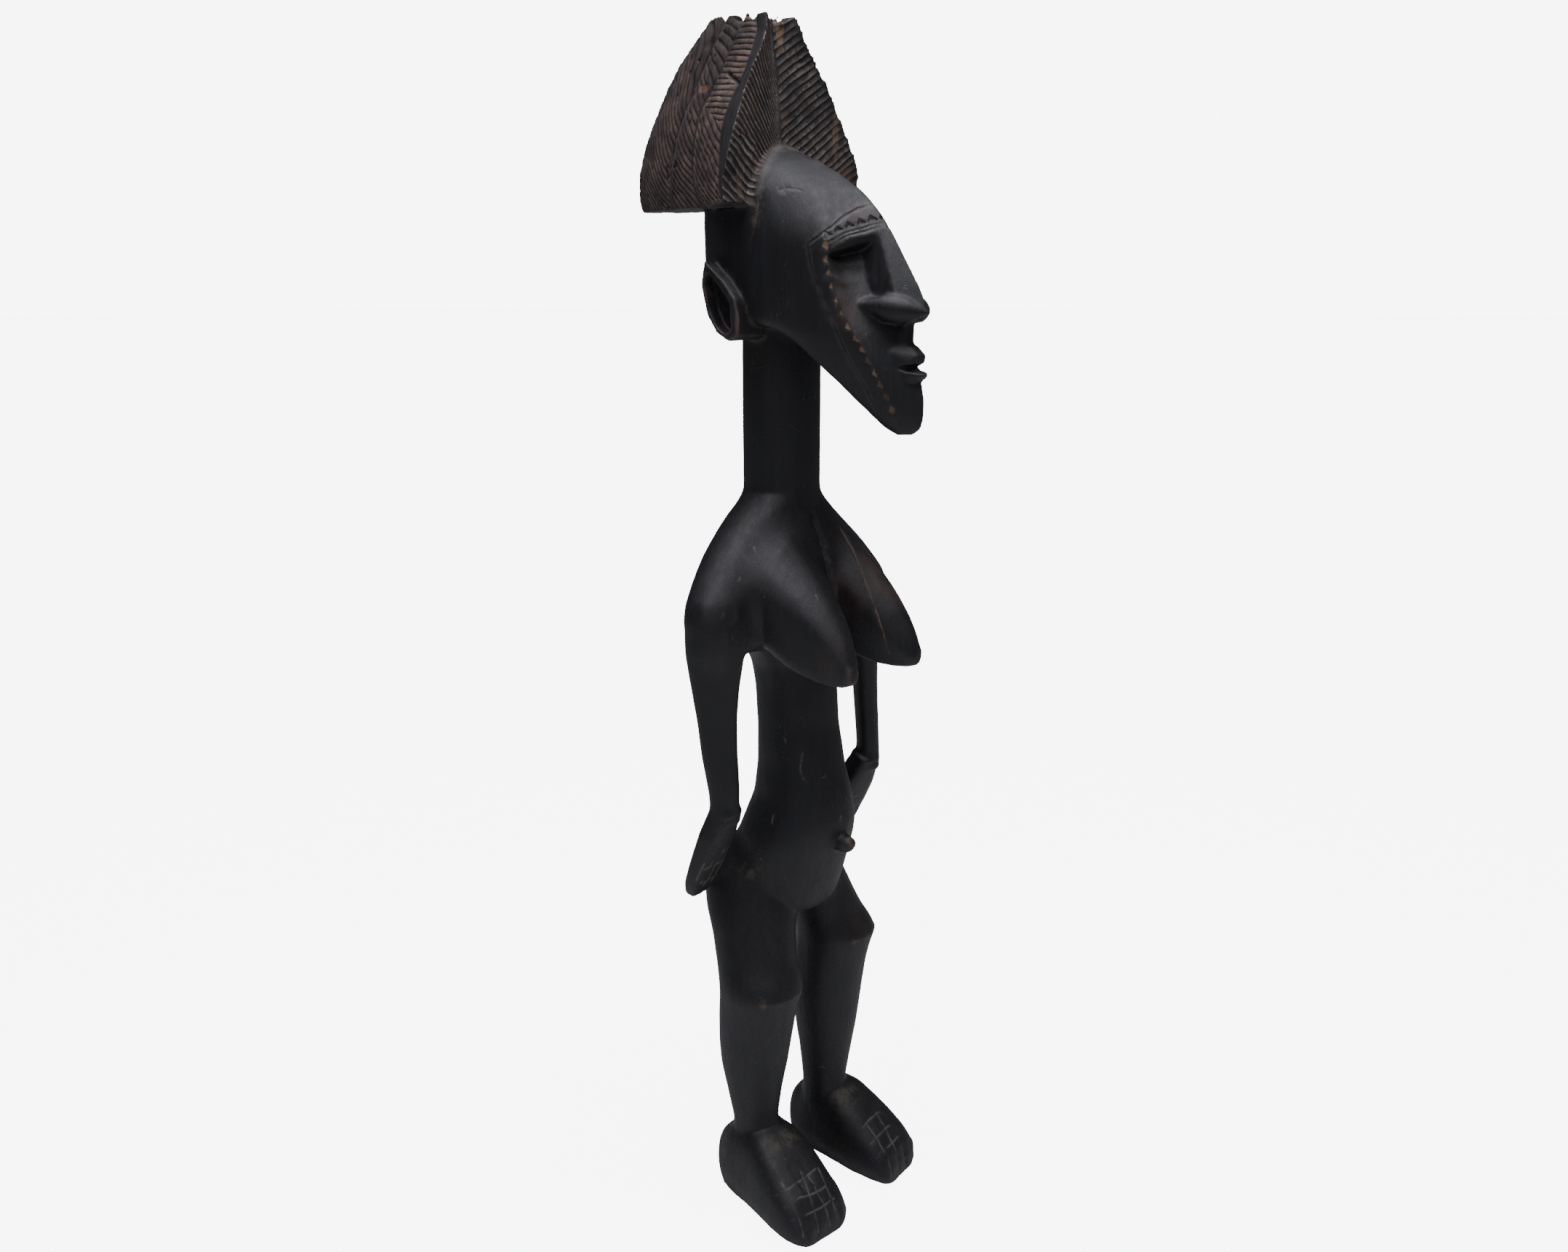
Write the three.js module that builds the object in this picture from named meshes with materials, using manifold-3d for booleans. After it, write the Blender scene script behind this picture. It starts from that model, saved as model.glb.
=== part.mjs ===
import * as THREE from 'three';
import { mergeVertices } from 'three/addons/utils/BufferGeometryUtils.js';
import Module from 'manifold-3d';

// A standing female figure carved from one block of dark wood, about 0.8 m tall.
// Millimetres, +Z up. The figure faces -Y and its own left side is +X.
// Every form is measured from the ankles: Y = 0 runs through both ankles and Z = 0 is the ground.
// The finished carving is moved at the end so that the middle of its box stands on the origin.

// Driving dimensions
const crestTop = 801.5;
const crestBottom = 686;
const neckRadius = 25.5;
const neckSetBack = 10;
const neckTop = 625;
const neckBase = 492;
const legTop = 262;
const rightKneeHeight = 168;
const leftKneeHeight = 185;
const rightShinSetBack = 2.5;
const rightFootTurn = 5;
const leftFootTurn = 7;
const leftFootOutward = 5.5;
const leftFootSize = 0.94;
const leftHandInward = 2.5;
const pointsAround = 22;

const wasm = await Module();
wasm.setup();

// Numbers between the rows of a table, the first number of each row being its key.
// A smooth curve runs through the rows and does not swing past them.
function between(rows, key) {
  const last = rows.length - 1;
  if (key <= rows[0][0]) return rows[0].slice(1);
  if (key >= rows[last][0]) return rows[last].slice(1);
  let i = 0;
  while (rows[i + 1][0] < key) i += 1;
  const span = rows[i + 1][0] - rows[i][0];
  const t = (key - rows[i][0]) / span;
  const slope = (j, c) => {
    if (j <= 0 || j >= last) return 0;
    const before = (rows[j][c] - rows[j - 1][c]) / (rows[j][0] - rows[j - 1][0]);
    const after = (rows[j + 1][c] - rows[j][c]) / (rows[j + 1][0] - rows[j][0]);
    return before * after > 0 ? (2 * before * after) / (before + after) : 0;
  };
  return rows[i].slice(1).map((value, k) => {
    const c = k + 1;
    const start = value;
    const end = rows[i + 1][c];
    const m0 = (i === 0 ? (end - start) / span : slope(i, c)) * span;
    const m1 = (i + 1 === last ? (end - start) / span : slope(i + 1, c)) * span;
    const t2 = t * t;
    const t3 = t2 * t;
    return (2 * t3 - 3 * t2 + 1) * start + (t3 - 2 * t2 + t) * m0 + (3 * t2 - 2 * t3) * end + (t3 - t2) * m1;
  });
}

function steps(from, to, count) {
  return Array.from({ length: count + 1 }, (_, i) => from + ((to - from) * i) / count);
}

// One point of a rounded square outline: power 2 is an ellipse, higher is squarer.
function outlinePoint(angle, halfX, halfY, power) {
  const c = Math.cos(angle);
  const s = Math.sin(angle);
  return [
    halfX * Math.sign(c) * Math.abs(c) ** (2 / power),
    halfY * Math.sign(s) * Math.abs(s) ** (2 / power),
  ];
}

// Level outline around a centre, turned by some degrees
function levelRing(x, y, z, halfX, halfY, power = 2, turn = 0, count = pointsAround) {
  const a = THREE.MathUtils.degToRad(turn);
  return Array.from({ length: count }, (_, i) => {
    const [u, v] = outlinePoint((i / count) * Math.PI * 2 - a, halfX, halfY, power);
    return [x + u * Math.cos(a) - v * Math.sin(a), y + u * Math.sin(a) + v * Math.cos(a), z];
  });
}

// Closed solid through a stack of rings that all have the same number of points
function loft(rings) {
  const count = rings[0].length;
  const positions = rings.flat(2);
  const index = [];
  for (let r = 0; r < rings.length - 1; r += 1) {
    for (let i = 0; i < count; i += 1) {
      const a = r * count + i;
      const b = r * count + ((i + 1) % count);
      index.push(a, b, b + count, a, b + count, a + count);
    }
  }
  [0, rings.length - 1].forEach((r, side) => {
    const middle = positions.length / 3;
    const sum = [0, 1, 2].map((k) => rings[r].reduce((total, p) => total + p[k], 0) / count);
    positions.push(...sum);
    for (let i = 0; i < count; i += 1) {
      const a = r * count + i;
      const b = r * count + ((i + 1) % count);
      if (side === 0) index.push(middle, b, a);
      else index.push(middle, a, b);
    }
  });
  const geometry = new THREE.BufferGeometry();
  geometry.setAttribute('position', new THREE.Float32BufferAttribute(positions, 3));
  geometry.setIndex(index);
  return geometry;
}

function signedVolume(p, index) {
  let total = 0;
  for (let i = 0; i < index.length; i += 3) {
    const [a, b, c] = [index[i] * 3, index[i + 1] * 3, index[i + 2] * 3];
    total += p[a] * (p[b + 1] * p[c + 2] - p[b + 2] * p[c + 1]);
    total -= p[a + 1] * (p[b] * p[c + 2] - p[b + 2] * p[c]);
    total += p[a + 2] * (p[b] * p[c + 1] - p[b + 1] * p[c]);
  }
  return total / 6;
}

// Closed geometry to a solid that can be joined and cut
function solid(source) {
  let geometry = source.clone();
  geometry.deleteAttribute('normal');
  geometry.deleteAttribute('uv');
  geometry = mergeVertices(geometry, 1e-3);
  const vertProperties = Float32Array.from(geometry.attributes.position.array);
  let triVerts = Uint32Array.from(geometry.index.array);
  if (signedVolume(vertProperties, triVerts) < 0) {
    triVerts = triVerts.map((_, i) => triVerts[i - (i % 3) + [0, 2, 1][i % 3]]);
  }
  return new wasm.Manifold(new wasm.Mesh({ numProp: 3, vertProperties, triVerts }));
}

function toGeometry(body) {
  const mesh = body.getMesh();
  const geometry = new THREE.BufferGeometry();
  const positions = new Float32Array(mesh.numVert * 3);
  for (let v = 0; v < mesh.numVert; v += 1) {
    for (let k = 0; k < 3; k += 1) positions[v * 3 + k] = mesh.vertProperties[v * mesh.numProp + k];
  }
  geometry.setAttribute('position', new THREE.BufferAttribute(positions, 3));
  geometry.setIndex(new THREE.BufferAttribute(Uint32Array.from(mesh.triVerts), 1));
  return geometry;
}

function joined(bodies) {
  return bodies.reduce((total, body) => total.add(body));
}

function mirrored(body) {
  return body.mirror([1, 0, 0]);
}

function bothSides(body) {
  return body.add(mirrored(body));
}

// V-shaped knife cut along a line of points on the surface.
// The blade stands along lean, and its edge runs at the given depth below the points.
function knifeCut(points, lean, width, depth) {
  const lift = depth * 1.5;
  const spread = (width / 2) * (1 + lift / depth);
  const parts = points.slice(1).map((to, i) => {
    const from = points[i];
    const zAxis = new THREE.Vector3().subVectors(to, from);
    const length = zAxis.length() + 0.6;
    zAxis.normalize();
    const yAxis = lean.clone().addScaledVector(zAxis, -lean.dot(zAxis)).normalize();
    const xAxis = new THREE.Vector3().crossVectors(yAxis, zAxis);
    const blade = new THREE.Shape();
    blade.moveTo(0, -depth);
    blade.lineTo(spread, lift);
    blade.lineTo(-spread, lift);
    blade.closePath();
    const geometry = new THREE.ExtrudeGeometry(blade, { depth: length, bevelEnabled: false });
    geometry.applyMatrix4(new THREE.Matrix4().makeBasis(xAxis, yAxis, zAxis).setPosition(from));
    return solid(geometry);
  });
  return joined(parts);
}

// Torso with its belly: height, half width, half depth, set back
const torsoRows = [
  [215, 11, 9, -5],
  [218.5, 21, 17, -5],
  [227, 31.5, 26, -3],
  [239, 37.5, 32, 0],
  [253, 40.5, 37, 1],
  [268, 40, 39.5, -2],
  [284, 36, 38.5, -7],
  [300, 31.5, 34.5, -9.5],
  [320, 28.5, 30.5, -8],
  [350, 27.5, 27, -5],
  [378, 28.3, 26.5, -3],
  [394, 31.5, 26, -1.5],
  [404, 39, 25, -1],
  [412, 54, 24, 0],
  [422, 72, 22, 1],
];

function torso() {
  const heights = [215, 218.5, 225, 235, 247, 260, 272, 285, 300, 322, 350, 376, 393, 403, 412, 422];
  return solid(loft(heights.map((z) => {
    const [halfX, halfY, y] = between(torsoRows, z);
    return levelRing(0, y, z, halfX, halfY, 2.1);
  })));
}

// Sloping shoulders that hang from the neck like a cape
const shoulderRows = [
  [408, 80, 14, 1, 2.4],
  [414, 90, 20, 1, 2.7],
  [421, 94, 23.5, 1, 2.9],
  [432, 95, 25.5, 1.5, 2.7],
  [444, 92, 27, 3, 2.4],
  [456, 82.5, 28, 5.5, 2.3],
  [474, 65.5, 27.5, 9, 2.2],
  [490, 46, 26.5, 11, 2.1],
  [500, 33, 26, 10, 2],
  [507, 25.8, 25.4, 10, 2],
];

function shoulders() {
  const heights = [408, 414, 421, 432, 444, 456, 470, 483, 492, 500, 507];
  const cape = solid(loft(heights.map((z) => {
    const [halfX, halfY, y, power] = between(shoulderRows, z);
    return levelRing(0, y, z, halfX, halfY, power, 0, 24);
  })));
  return cape;
}

// Chest between the breasts: height, half width, how far its front stands out
const chestRows = [
  [423, 40, 26],
  [434, 50, 31],
  [447, 57, 33.5],
  [463, 56, 30.5],
  [481, 41, 23],
  [496, 24, 16.5],
];
const chestGroove = [[-17, 494], [-24, 480], [-31, 463], [-34, 447], [-31.5, 434]];

function chest() {
  return solid(loft(chestRows.map(([z, halfX, front]) => levelRing(0, 0, z, halfX, front, 2, 0, 20))));
}

function grooveCut() {
  const line = chestGroove.map(([y, z]) => new THREE.Vector3(0, y, z));
  return knifeCut(line, new THREE.Vector3(0, -1, 0.4), 7, 4);
}

function neck() {
  const rings = [neckBase, neckTop].map((z) => levelRing(0, neckSetBack, z, neckRadius, neckRadius));
  return solid(loft(rings));
}

function navel() {
  const knob = new THREE.SphereGeometry(7, 12, 8);
  knob.scale(1, 1.1, 0.95);
  knob.translate(0, -47, 271.5);
  const hollow = new THREE.SphereGeometry(3.4, 8, 6);
  hollow.translate(0, -55, 276);
  return solid(knob).subtract(solid(hollow));
}

// Pointed breast, one side: upright sections across it from the chest to the tip.
// Its y, then x and z of: crown, outer ridge, outer lower edge, keel, inner lower edge, inner upper edge
const breastRows = [
  [-2, 26, 482, 60, 459, 45, 420, 30, 414, 14, 420, 6, 470],
  [-18, 27, 483, 59, 456, 49, 413, 32, 405, 15, 409, 5, 468],
  [-34, 28, 467, 54, 447, 48, 405, 31, 398, 17, 403, 6, 453],
  [-50, 29, 451, 49, 436, 45, 399, 31, 394, 18, 399, 10.5, 437],
  [-64, 30, 435, 44.5, 424, 42, 396, 32, 392.5, 22, 396.5, 16, 421],
  [-74.5, 32, 418, 41, 411, 39.5, 395.5, 33, 392.5, 27, 395.5, 23.5, 406],
  [-79.5, 33.5, 406, 38, 404, 37.5, 398, 33.5, 395.5, 30, 397.5, 29, 402],
];

function breast() {
  const rows = [...breastRows].reverse();
  return solid(loft([-79.5, -78, -74, -66, -56, -45, -33, -19, -2].map((y) => {
    const r = between(rows, y);
    const corners = [0, 2, 4, 6, 8, 10].map((k) => new THREE.Vector3(r[k], y, r[k + 1]));
    const outline = new THREE.CatmullRomCurve3(corners, true, 'catmullrom', 0.42);
    return outline.getPoints(16).slice(0, 16).map((p) => p.toArray());
  })));
}

// Arm, one side: height, x, y, half width along its broad face, half thickness
const armRows = [
  [291, 74.5, -4, 4, 3.5],
  [299, 75, -7.5, 9.4, 8],
  [318, 75.2, -6.5, 10.4, 8.2],
  [340, 76, -4, 11.8, 8.4],
  [362, 76.5, -2.4, 13, 8.8],
  [384, 76.5, -1.2, 15.4, 9.8],
  [400, 76, -0.5, 18, 11.5],
  [412, 75.5, 0, 19.5, 16.5],
  [426, 74, 1, 19.5, 19.5],
  [440, 72, 2, 12, 11],
  [450, 70, 3, 6, 6],
];
const armTurn = 30;

function arm() {
  const heights = [291, 299, 320, 344, 368, 386, 400, 413, 426, 440, 450];
  return solid(loft(heights.map((z) => {
    const [x, y, wide, thick] = between(armRows, z);
    return levelRing(x, y, z, wide, thick, 2.2, armTurn, 13);
  })));
}

// Arched hollow under the shoulder, between the breast and the front of the arm
function armpit() {
  return joined([
    egg([62, -34, 430], 14, 20, 47, 12, 7),
    egg([74, -31, 402], 20, 19, 50, 12, 7),
  ]);
}

// Hand laid back along the hip: share of its length, half width, half thickness
const handRows = [
  [0, 9.6, 8.5],
  [0.12, 11.6, 9],
  [0.35, 15.2, 8.5],
  [0.65, 15.4, 7.5],
  [0.9, 14, 6.5],
  [1, 11, 5],
];
const wrist = new THREE.Vector3(74.2, -8, 309);
const fingertips = new THREE.Vector3(72, 22, 243);
const palmFacing = new THREE.Vector3(0.12, 1, 0);
const fingerCuts = [-0.5, 0, 0.5];

function hand() {
  const along = new THREE.Vector3().subVectors(fingertips, wrist);
  const palm = palmFacing.clone();
  palm.addScaledVector(along, -palm.dot(along) / along.lengthSq()).normalize();
  const side = new THREE.Vector3().crossVectors(palm, along).normalize();
  const at = (t, u, v) => wrist.clone()
    .addScaledVector(along, t)
    .addScaledVector(side, u)
    .addScaledVector(palm, v);
  const body = solid(loft([0, 0.12, 0.3, 0.5, 0.7, 0.88, 1].map((t) => {
    const [wide, thick] = between(handRows, t);
    return levelRing(0, 0, 0, wide, thick, 3.2, 0, 14).map(([u, v]) => at(t, u, v).toArray());
  })));
  const backOfHand = palm.clone().negate();
  return fingerCuts.reduce((rest, share) => {
    const line = [0.45, 0.7, 1.02].map((t) => {
      const [wide, thick] = between(handRows, t);
      return at(t, share * wide, -thick + 0.3);
    });
    return rest.subtract(knifeCut(line, backOfHand, 2, 1.5));
  }, body);
}

// Bent leg, one side: height, x, y, half sizes of its section and how far the section is turned.
// The heights are those of a knee at 168 and are stretched to the real one.
const legRows = [
  [44, 36.4, 0, 15.8, 15.8, 0],
  [66, 36.4, 0, 16, 16, 0],
  [90, 37.5, 0, 19.8, 19.8, 0],
  [115, 38, 0, 24.4, 24.4, 0],
  [140, 38.6, -1, 26.6, 26.6, 0],
  [160, 39.6, -4.4, 27.8, 28, 0],
  [168, 40, -6.4, 29, 29.2, 0],
  [176, 39.4, -4.5, 28.6, 28.2, 20],
  [190, 37, 1, 28, 26, 49],
  [206, 34.5, 5, 29, 24.5, 49],
  [234, 31, 11, 33, 20.5, 49],
  [256, 25, 14, 29, 18, 49],
  [272, 16, 10, 18, 14, 49],
];
const kneeInTable = 168;
const ankleHeight = 66;

function leg(kneeHeight, shinSetBack) {
  const lift = (z) => {
    if (z <= ankleHeight || z >= legTop) return z;
    const below = (z - ankleHeight) / (kneeInTable - ankleHeight);
    const above = (legTop - z) / (legTop - kneeInTable);
    return z + (kneeHeight - kneeInTable) * Math.min(below, above);
  };
  const heights = [46, 66, 88, 108, 128, 148, 160, 168, 176, 188, 204, 220, 240, 272];
  return solid(loft(heights.map((z) => {
    const [x, y, a, b, turn] = between(legRows, z);
    const back = shinSetBack * THREE.MathUtils.clamp((150 - z) / 50, 0, 1);
    return levelRing(x, y + back, lift(z), a, b, 2, turn, 16);
  })));
}

function buttock() {
  return egg([21, 23, 243], 22, 21, 27, 12, 7);
}

// Foot from heel to toes: y, inner edge, outer edge, height of its top, of its widest place and of its
// underside, and how much of its half width the sole keeps on the inner and on the outer side
const footRows = [
  [31, 29, 43, 34, 26, 14, 0.4, 0.4],
  [29.5, 24, 48, 44, 26, 5, 0.4, 0.5],
  [26.5, 20.5, 52, 50, 25, 0, 0.36, 0.56],
  [20, 17, 55.5, 56, 24, 0, 0.3, 0.6],
  [13, 15, 57.5, 60, 24, 0, 0.26, 0.62],
  [0, 12, 59, 64, 23, 0, 0.26, 0.64],
  [-14, 10, 61, 63, 20, 0, 0.36, 0.68],
  [-30, 8.5, 63.5, 54, 17, 0, 0.55, 0.74],
  [-46, 9.5, 65, 41, 14, 0, 0.72, 0.8],
  [-58, 10.5, 64, 31, 12, 0, 0.8, 0.82],
  [-65, 12.5, 61.5, 21, 10, 0, 0.8, 0.8],
  [-68, 17, 56, 13, 7, 1.5, 0.76, 0.76],
];
const soleFlatness = 1.16;
const ankle = new THREE.Vector3(36.4, 1, 0);
const toeCuts = [22, 33, 43.5, 53];

// Rounded block with a flat sole, drawn in under the arch
function foot(turn, outward, size) {
  const rows = [...footRows].reverse();
  const places = [31, 29.5, 26.5, 12, -3, -18, -32, -45, -56, -64, -68];
  const body = loft(places.map((y) => {
    const [inner, outer, top, widest, low, innerKeep, outerKeep] = between(rows, y);
    const half = (outer - inner) / 2;
    return levelRing(0, 0, 0, 1, 1, 3, 0, 18).map(([u, v]) => {
      const keep = u < 0 ? innerKeep : outerKeep;
      const drop = Math.min(1, -v * soleFlatness);
      const x = (inner + outer) / 2 + half * (v >= 0 ? u : u * (keep + (1 - keep) * (1 + v) ** 0.5));
      return [x, y, v >= 0 ? widest + (top - widest) * v : widest - (widest - low) * drop];
    });
  }));
  const topAt = (y) => between(rows, y)[2];
  const toeLines = toeCuts.map((x) => knifeCut(
    [-38, -54, -64, -69.5].map((y) => new THREE.Vector3(x, y, y < -68 ? 0 : topAt(y) * 0.985)),
    new THREE.Vector3(0, -0.35, 1),
    2.2,
    1.8,
  ));
  const turned = new THREE.Matrix4()
    .makeTranslation(ankle.x + outward, ankle.y, 0)
    .multiply(new THREE.Matrix4().makeRotationZ(THREE.MathUtils.degToRad(turn)))
    .multiply(new THREE.Matrix4().makeScale(size, size, 1))
    .multiply(new THREE.Matrix4().makeTranslation(-ankle.x, -ankle.y, 0));
  return toeLines.reduce((rest, cut) => rest.subtract(cut), solid(body)).transform(turned.toArray());
}

// Level outlines of the head: height, back of skull or jaw, y of widest place, half width,
// half width and y of the face's edge, y of the middle of the front.
// The face is a prow: its two halves slope back from the middle to an edge on each side.
const headRows = [
  [549.5, -86, -90, 6, 5, -92, -96],
  [553, -80, -86, 10.5, 8, -92, -102],
  [561, -72, -78, 15.5, 12.2, -91.5, -104.5],
  [574, -56.5, -66, 21, 17.2, -88, -104.5],
  [583, -46.5, -57, 24.8, 20.3, -85, -101.5],
  [601, -23, -40, 32.5, 25.8, -77.8, -95],
  [611, -7, -30, 37, 28.2, -71.8, -93],
  [620, 57, 0, 41.5, 30, -66.8, -91],
  [635, 60, 2, 43, 32, -60.8, -86],
  [654, 61, 4, 43.8, 33, -55.8, -75],
  [668, 61, 6, 43.5, 33, -55, -77],
  [676, 62, 8, 43, 29, -48, -72],
  [690, 61, 10, 41, 24, -39, -60],
  [703, 58, 12, 36, 20, -24, -40],
  [714, 54, 14, 28, 16, -6, -18],
  [721, 48, 18, 18, 12, 8, 2],
  [724, 40, 20, 8, 6, 14, 12],
];
const browOverhang = 9.5;

function headRing(z, recess = 0, lift = 0) {
  const [back, wideY, wide, edgeX, edgeY, middleY] = between(headRows, z);
  const half = [];
  for (let i = 0; i <= 5; i += 1) {
    const [u, v] = outlinePoint((1 - i / 5) * (Math.PI / 2), wide, back - wideY, 2.3);
    half.push([u, wideY + v, z]);
  }
  for (let i = 1; i <= 4; i += 1) {
    const t = i / 4;
    half.push([wide - (wide - edgeX) * t ** 1.8, wideY + (edgeY - wideY) * t, z]);
  }
  for (let i = 1; i <= 3; i += 1) {
    const t = i / 3;
    const y = edgeY + (middleY - edgeY) * t;
    half.push([edgeX * (1 - t), y + recess * (i < 3 ? 1 : 0.4), z + lift * t]);
  }
  const other = half.slice(1, -1).reverse().map(([x, y, height]) => [-x, y, height]);
  return [...half, ...other];
}

// Skull, forehead and wedge of the jaw; the brow rises to the middle and overhangs the face
function head() {
  const rings = [549.5, 553, 560, 570, 583, 597, 606, 612, 620, 630, 637].map((z) => headRing(z));
  rings.push(headRing(645, browOverhang * 0.6, 3));
  rings.push(headRing(652.5, browOverhang, 8));
  rings.push(headRing(656.5, 0, 10.5));
  [664, 674, 684, 694, 704, 713, 720, 724].forEach((z, i) => {
    rings.push(headRing(z, 0, Math.max(0, 5 - 4 * i)));
  });
  return solid(loft(rings));
}

// Side view of something flat, drawn in y and z and as thick as asked
function plate(points, thickness) {
  const shape = new THREE.Shape(points.map(([y, z]) => new THREE.Vector2(y, z)));
  const geometry = new THREE.ExtrudeGeometry(shape, { depth: thickness, bevelEnabled: false });
  geometry.translate(0, 0, -thickness / 2);
  geometry.applyMatrix4(new THREE.Matrix4().makeBasis(
    new THREE.Vector3(0, 1, 0),
    new THREE.Vector3(0, 0, 1),
    new THREE.Vector3(1, 0, 0),
  ));
  return solid(geometry);
}

function egg(center, halfX, halfY, halfZ, around = 12, rows = 8) {
  const ball = new THREE.SphereGeometry(1, around, rows);
  ball.rotateX(Math.PI / 2);
  ball.scale(halfX, halfY, halfZ);
  ball.translate(...center);
  return solid(ball);
}

// Nose like a gabled roof: height, y of the ridge, half width and y of the eaves, half width at the foot
const noseRows = [
  [618, -97, 8, -91, 9.5],
  [622, -105, 10.5, -93, 11.5],
  [627, -104.5, 12, -92.5, 12.5],
  [641, -96.5, 10.5, -85.5, 12],
  [656, -87, 8, -79, 9],
  [671, -77, 5.5, -71, 6.5],
];
const noseFoot = -62;

function nose() {
  return solid(loft([618, 622, 627, 638, 650, 661, 671].map((z) => {
    const [ridge, eave, eaveY, foot] = between(noseRows, z);
    return [[-foot, noseFoot], [foot, noseFoot], [eave, eaveY], [0, ridge], [-eave, eaveY]]
      .map(([x, y]) => [x, y, z]);
  })));
}

// Wing of the nose, one side: an almond pointed at both ends, from the cheek to the tip
const wingStart = new THREE.Vector3(21, -71, 627);
const wingEnd = new THREE.Vector3(-0.5, -107, 622);

function wing() {
  const along = new THREE.Vector3().subVectors(wingEnd, wingStart);
  const across = new THREE.Vector3(-along.y, along.x, 0).normalize();
  return solid(loft([0.02, 0.16, 0.34, 0.52, 0.7, 0.86, 0.985].map((t) => {
    const size = Math.sin(Math.PI * t);
    const c = wingStart.clone().addScaledVector(along, t);
    return levelRing(0, 0, 0, 7.6 * size, 9 * size, 1.7, 0, 12)
      .map(([u, v]) => [c.x + across.x * u, c.y + across.y * u, c.z + v]);
  })));
}

// Lips, as the points of one side of each: both jut out, the lower one to a point
const upperLipPoints = [
  [16, -79, 593], [14, -78, 590], [13, -87, 599.5], [8, -98.5, 592], [0, -101, 591.5],
  [4.5, -102, 597], [3, -97, 602.5], [7, -89, 603.5], [0, -89, 604.5],
];
const lowerLipPoints = [
  [15, -79, 588.5], [12, -80, 583], [10, -94, 588], [6, -103, 586.5], [0, -106, 586],
  [5, -102, 583.5], [8, -92, 579.5], [0, -97, 579], [0, -97, 588.5],
];

function lip(points) {
  return wasm.Manifold.hull([...points, ...points.map(([x, y, z]) => [-x, y, z])]);
}

function face() {
  const column = plate([[-70, 625], [-93.5, 621], [-92.5, 601], [-74, 598]], 9);
  return joined([nose(), bothSides(wing()), column, lip(upperLipPoints), lip(lowerLipPoints)]);
}

// Ear, one side: outline of the boss and of its hollow, drawn in y and z
const earOutline = [
  [30, 653], [14, 641], [4, 630], [1, 618], [2, 607], [10, 604], [20, 609], [28, 620], [33, 638],
];
const hollowOutline = [
  [29, 647], [17, 636], [9, 627], [8, 611], [13, 608.5], [20, 613], [26, 623], [30, 638],
];
const earReach = 51;

function ear() {
  const block = (outline, from, to) => {
    const body = plate(outline, to - from);
    return body.translate([(from + to) / 2, 0, 0]);
  };
  return block(earOutline, 24, earReach).subtract(block(hollowOutline, earReach - 9, earReach + 2));
}

// Crest of hair seen from above, one side: a lobe to each side and one to the back.
// Height, then x and y of: back rim, groove between locks a and b, middle of lock b,
// valley before lock c, back corner of the plain band, front corner of the band; y of the front fold
const crestRows = [
  [686, 5, 133.5, 19, 92, 24, 74, 26, 54, 67, -2, 67.8, -3, 6],
  [700, 5, 136, 18.5, 92, 24, 76, 25.5, 62, 61, 6.6, 65.8, -0.9, 8],
  [713, 5, 135, 18, 92, 23.5, 77, 25, 63.5, 55, 11.4, 63, -2.4, 9],
  [739, 4.5, 123.5, 18, 82, 22, 71, 24, 60, 44, 17.4, 49.6, 0.6, 12],
  [767, 4, 105.5, 16, 65.6, 20, 53, 20, 43, 28, 14, 34, 3.2, 14],
  [787, 4, 86.5, 13.5, 54, 16, 45, 15, 35, 17, 14.8, 19, 5.5, 18],
  [801.5, 3.5, 67, 10, 47, 12, 38, 11, 30, 12, 20, 14, 9, 19],
];
const crestNotch = 6;
const crestHollow = 6;

function crestRing(z, atTop = false) {
  const r = between(crestRows, z);
  const notch = atTop ? -crestNotch : 0;
  const at = (k) => [r[k], r[k + 1]];
  const mix = (p, q, t, out = 0) => [p[0] + (q[0] - p[0]) * t + out, p[1] + (q[1] - p[1]) * t];
  const rim = at(0);
  const grooveAB = at(2);
  const middleB = at(4);
  const valley = at(6);
  const bandBack = at(8);
  const bandFront = at(10);
  const fold = [0, r[12]];
  const half = [
    [[0, rim[1] + 1.5], 0],
    [rim, 0],
    [mix(rim, grooveAB, 0.4, 2.2), 0],
    [mix(rim, grooveAB, 0.85, 2.2), 0],
    [mix(grooveAB, [0, grooveAB[1]], 0.06), notch],
    [mix(grooveAB, middleB, 0.4, 1.6), 0],
    [mix(middleB, valley, 0.6, 1.6), 0],
    [valley, notch],
    [mix(valley, bandBack, 0.12, 1.6), 0],
    [mix(valley, bandBack, 0.5, 2), 0],
    [mix(valley, bandBack, 0.85, 1.2), notch],
    [bandBack, 0],
    [bandFront, 0],
    [mix(bandFront, fold, 0.35), notch],
    [mix(bandFront, fold, 0.7), 0],
    [fold, 0],
  ];
  const slope = atTop ? (y) => 0.06 * Math.max(0, y - 20) : () => 0;
  const other = half.slice(1, -1).reverse().map(([[x, y], drop]) => [[-x, y], drop]);
  return [...half, ...other].map(([[x, y], drop]) => [x, y, z + drop + slope(y)]);
}

function crest() {
  const heights = [crestBottom, 698, 713, 730, 747, 765, 779, 790];
  const rings = heights.map((z) => crestRing(z));
  const top = crestRing(crestTop, true);
  rings.push(top);
  rings.push(top.map(([x, y]) => [x * 0.35, 32 + (y - 32) * 0.82, crestTop - crestHollow]));
  return solid(loft(rings));
}

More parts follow.
